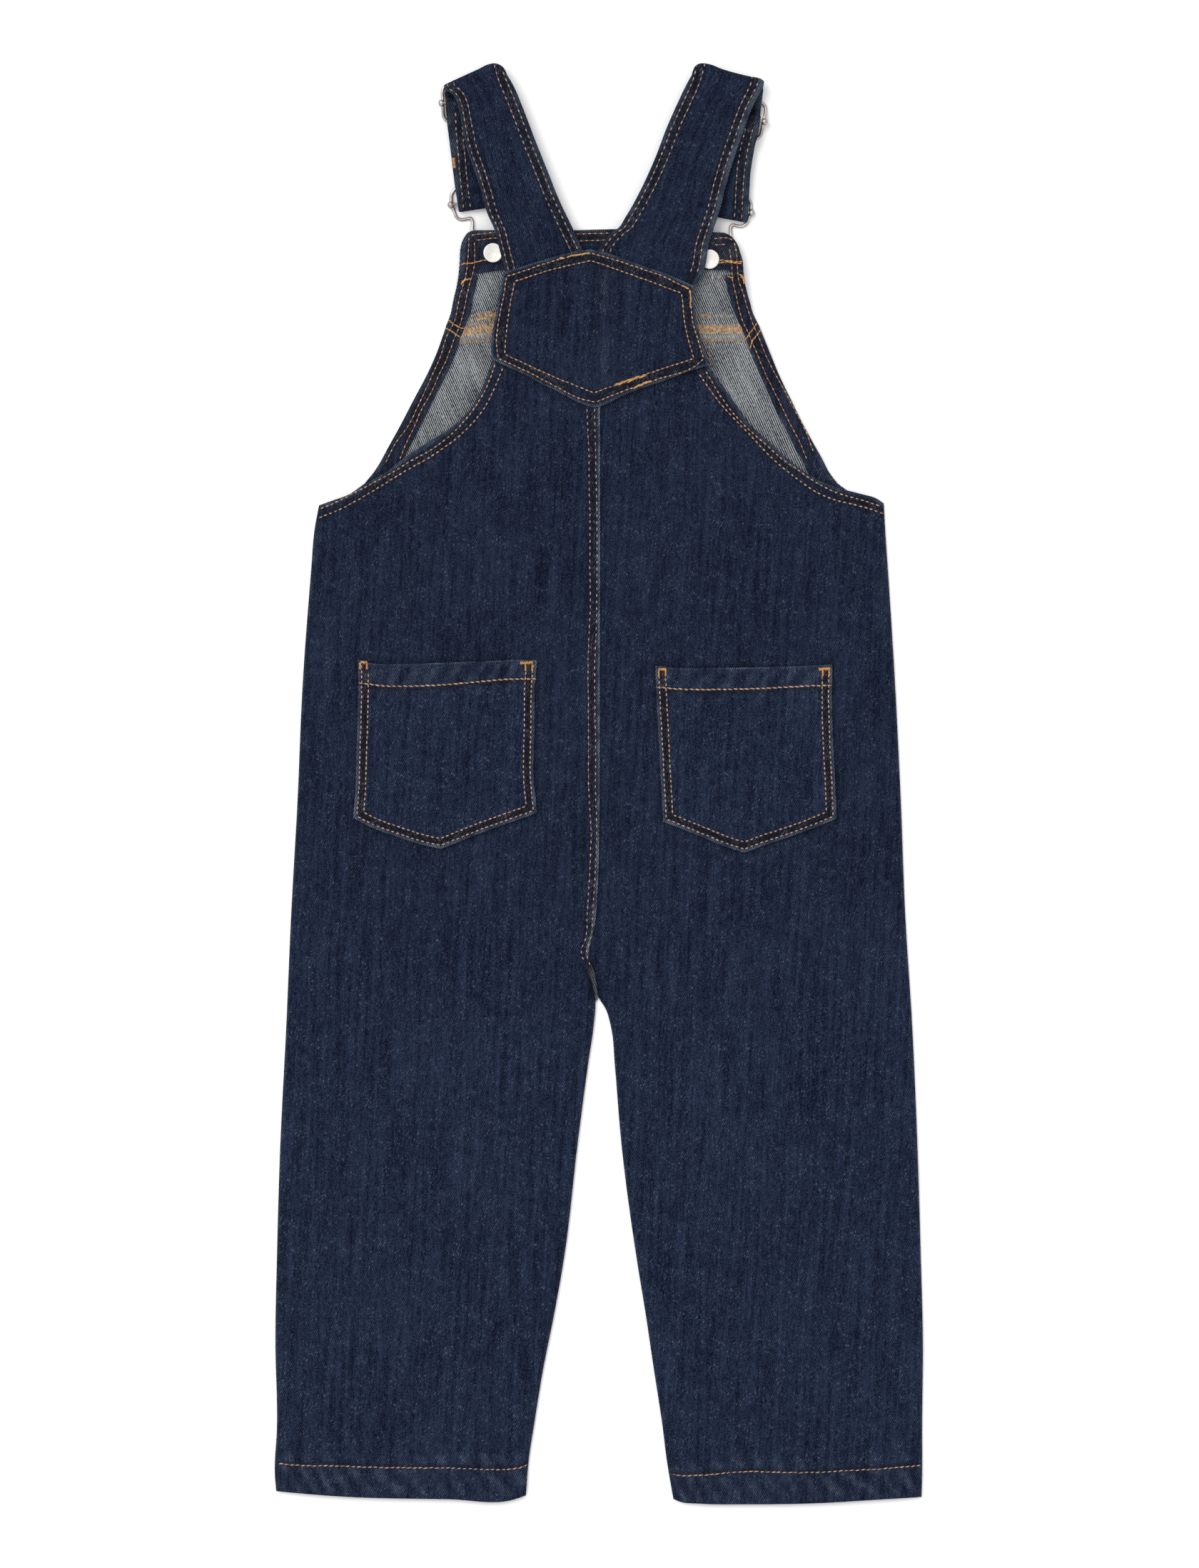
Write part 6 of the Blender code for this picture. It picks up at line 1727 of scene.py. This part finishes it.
for side, strap in STRAPS.items():
    slide = Leaning(strap, "slide")
    points = []
    for inward, up in SLIDE_PLAN:
        arch = SLIDE_ARCH * float(smooth_step((h - r + 1.5 - abs(up)) / (h - r))) if abs(inward) > w - 0.1 else 0.0
        points.append((*slide.point(inward, up), WIRE / 2 + arch))
    bm = bent_wire(points)
    bar_height = MAIN_LOW + LAYER + BAR_WRAP
    add_bar(bm, slide.origin, slide.inward, SLIDE_BALL, bar_height, (bar_height + WIRE / 2 + SLIDE_ARCH) / 2)
    metal_piece(f"slide_{side}_wire", bm, f"slider_{side}", wire_metal)

    hook = Leaning(strap, "hook")
    points = []
    for inward, up in HOOK_PLAN:
        climb = float(smooth_step((19.0 - up) / 13.0)) * (2.9 - WIRE / 2)
        lift = 0.4 * float(smooth_step((4.0 - abs(up - HOOK_BAR_UP)) / 3.0))
        step = HOOK_STEP[side] * float(smooth_step((24.0 - up) / 3.0) * smooth_step((up - 10.0) / 6.0))
        points.append((*hook.point(inward, up + step), WIRE / 2 + lift + climb))
    bm = bent_wire(points)
    add_bar(bm, hook.point(0, HOOK_BAR_UP), hook.inward, HOOK_BALL, MAIN_LOW + BAR_WRAP, 1.95)
    metal_piece(f"hook_{side}_wire", bm, f"hook_{side}", wire_metal)

# %% Buttons
DISC_LOW = FRONT_LIFT + CLOTH + GAP + TRIM_CLOTH + 0.2
DISC_HIGH = DISC_LOW + 0.9
BUTTON_SECTION = ((0.0, 0.5), (5.6, 0.35), (6.2, 0.0), (7.7, 0.0), (8.3, 0.3), (8.5, 0.9), (8.3, 1.5), (7.7, 1.8),
                  (2.0, 1.8), (2.0, DISC_LOW), (4.7, DISC_LOW), (5.0, DISC_LOW + 0.25), (5.0, DISC_HIGH - 0.25),
                  (4.85, DISC_HIGH - 0.08), (4.6, DISC_HIGH), (4.2, DISC_HIGH - 0.03), (3.9, DISC_HIGH - 0.14),
                  (1.6, DISC_HIGH - 0.20), (1.2, DISC_HIGH - 0.30), (0.0, DISC_HIGH - 0.32))
for side, strap in STRAPS.items():
    middle = Vector(world(*strap["button"], 0.0))
    bm = bmesh.new()
    spots = [bm.verts.new(middle + Vector((radius * MM, 0, height * MM))) for radius, height in BUTTON_SECTION]
    edges = [bm.edges.new(pair) for pair in zip(spots[:-1], spots[1:])]
    bmesh.ops.spin(bm, geom=[*spots, *edges], cent=middle, axis=(0, 0, 1), angle=2 * math.pi, steps=56,
                   use_merge=True)
    bmesh.ops.remove_doubles(bm, verts=bm.verts, dist=1e-7)
    bmesh.ops.recalc_face_normals(bm, faces=bm.faces)
    metal_piece(f"button_{side}_disc", bm, f"button_{side}", disc_metal)
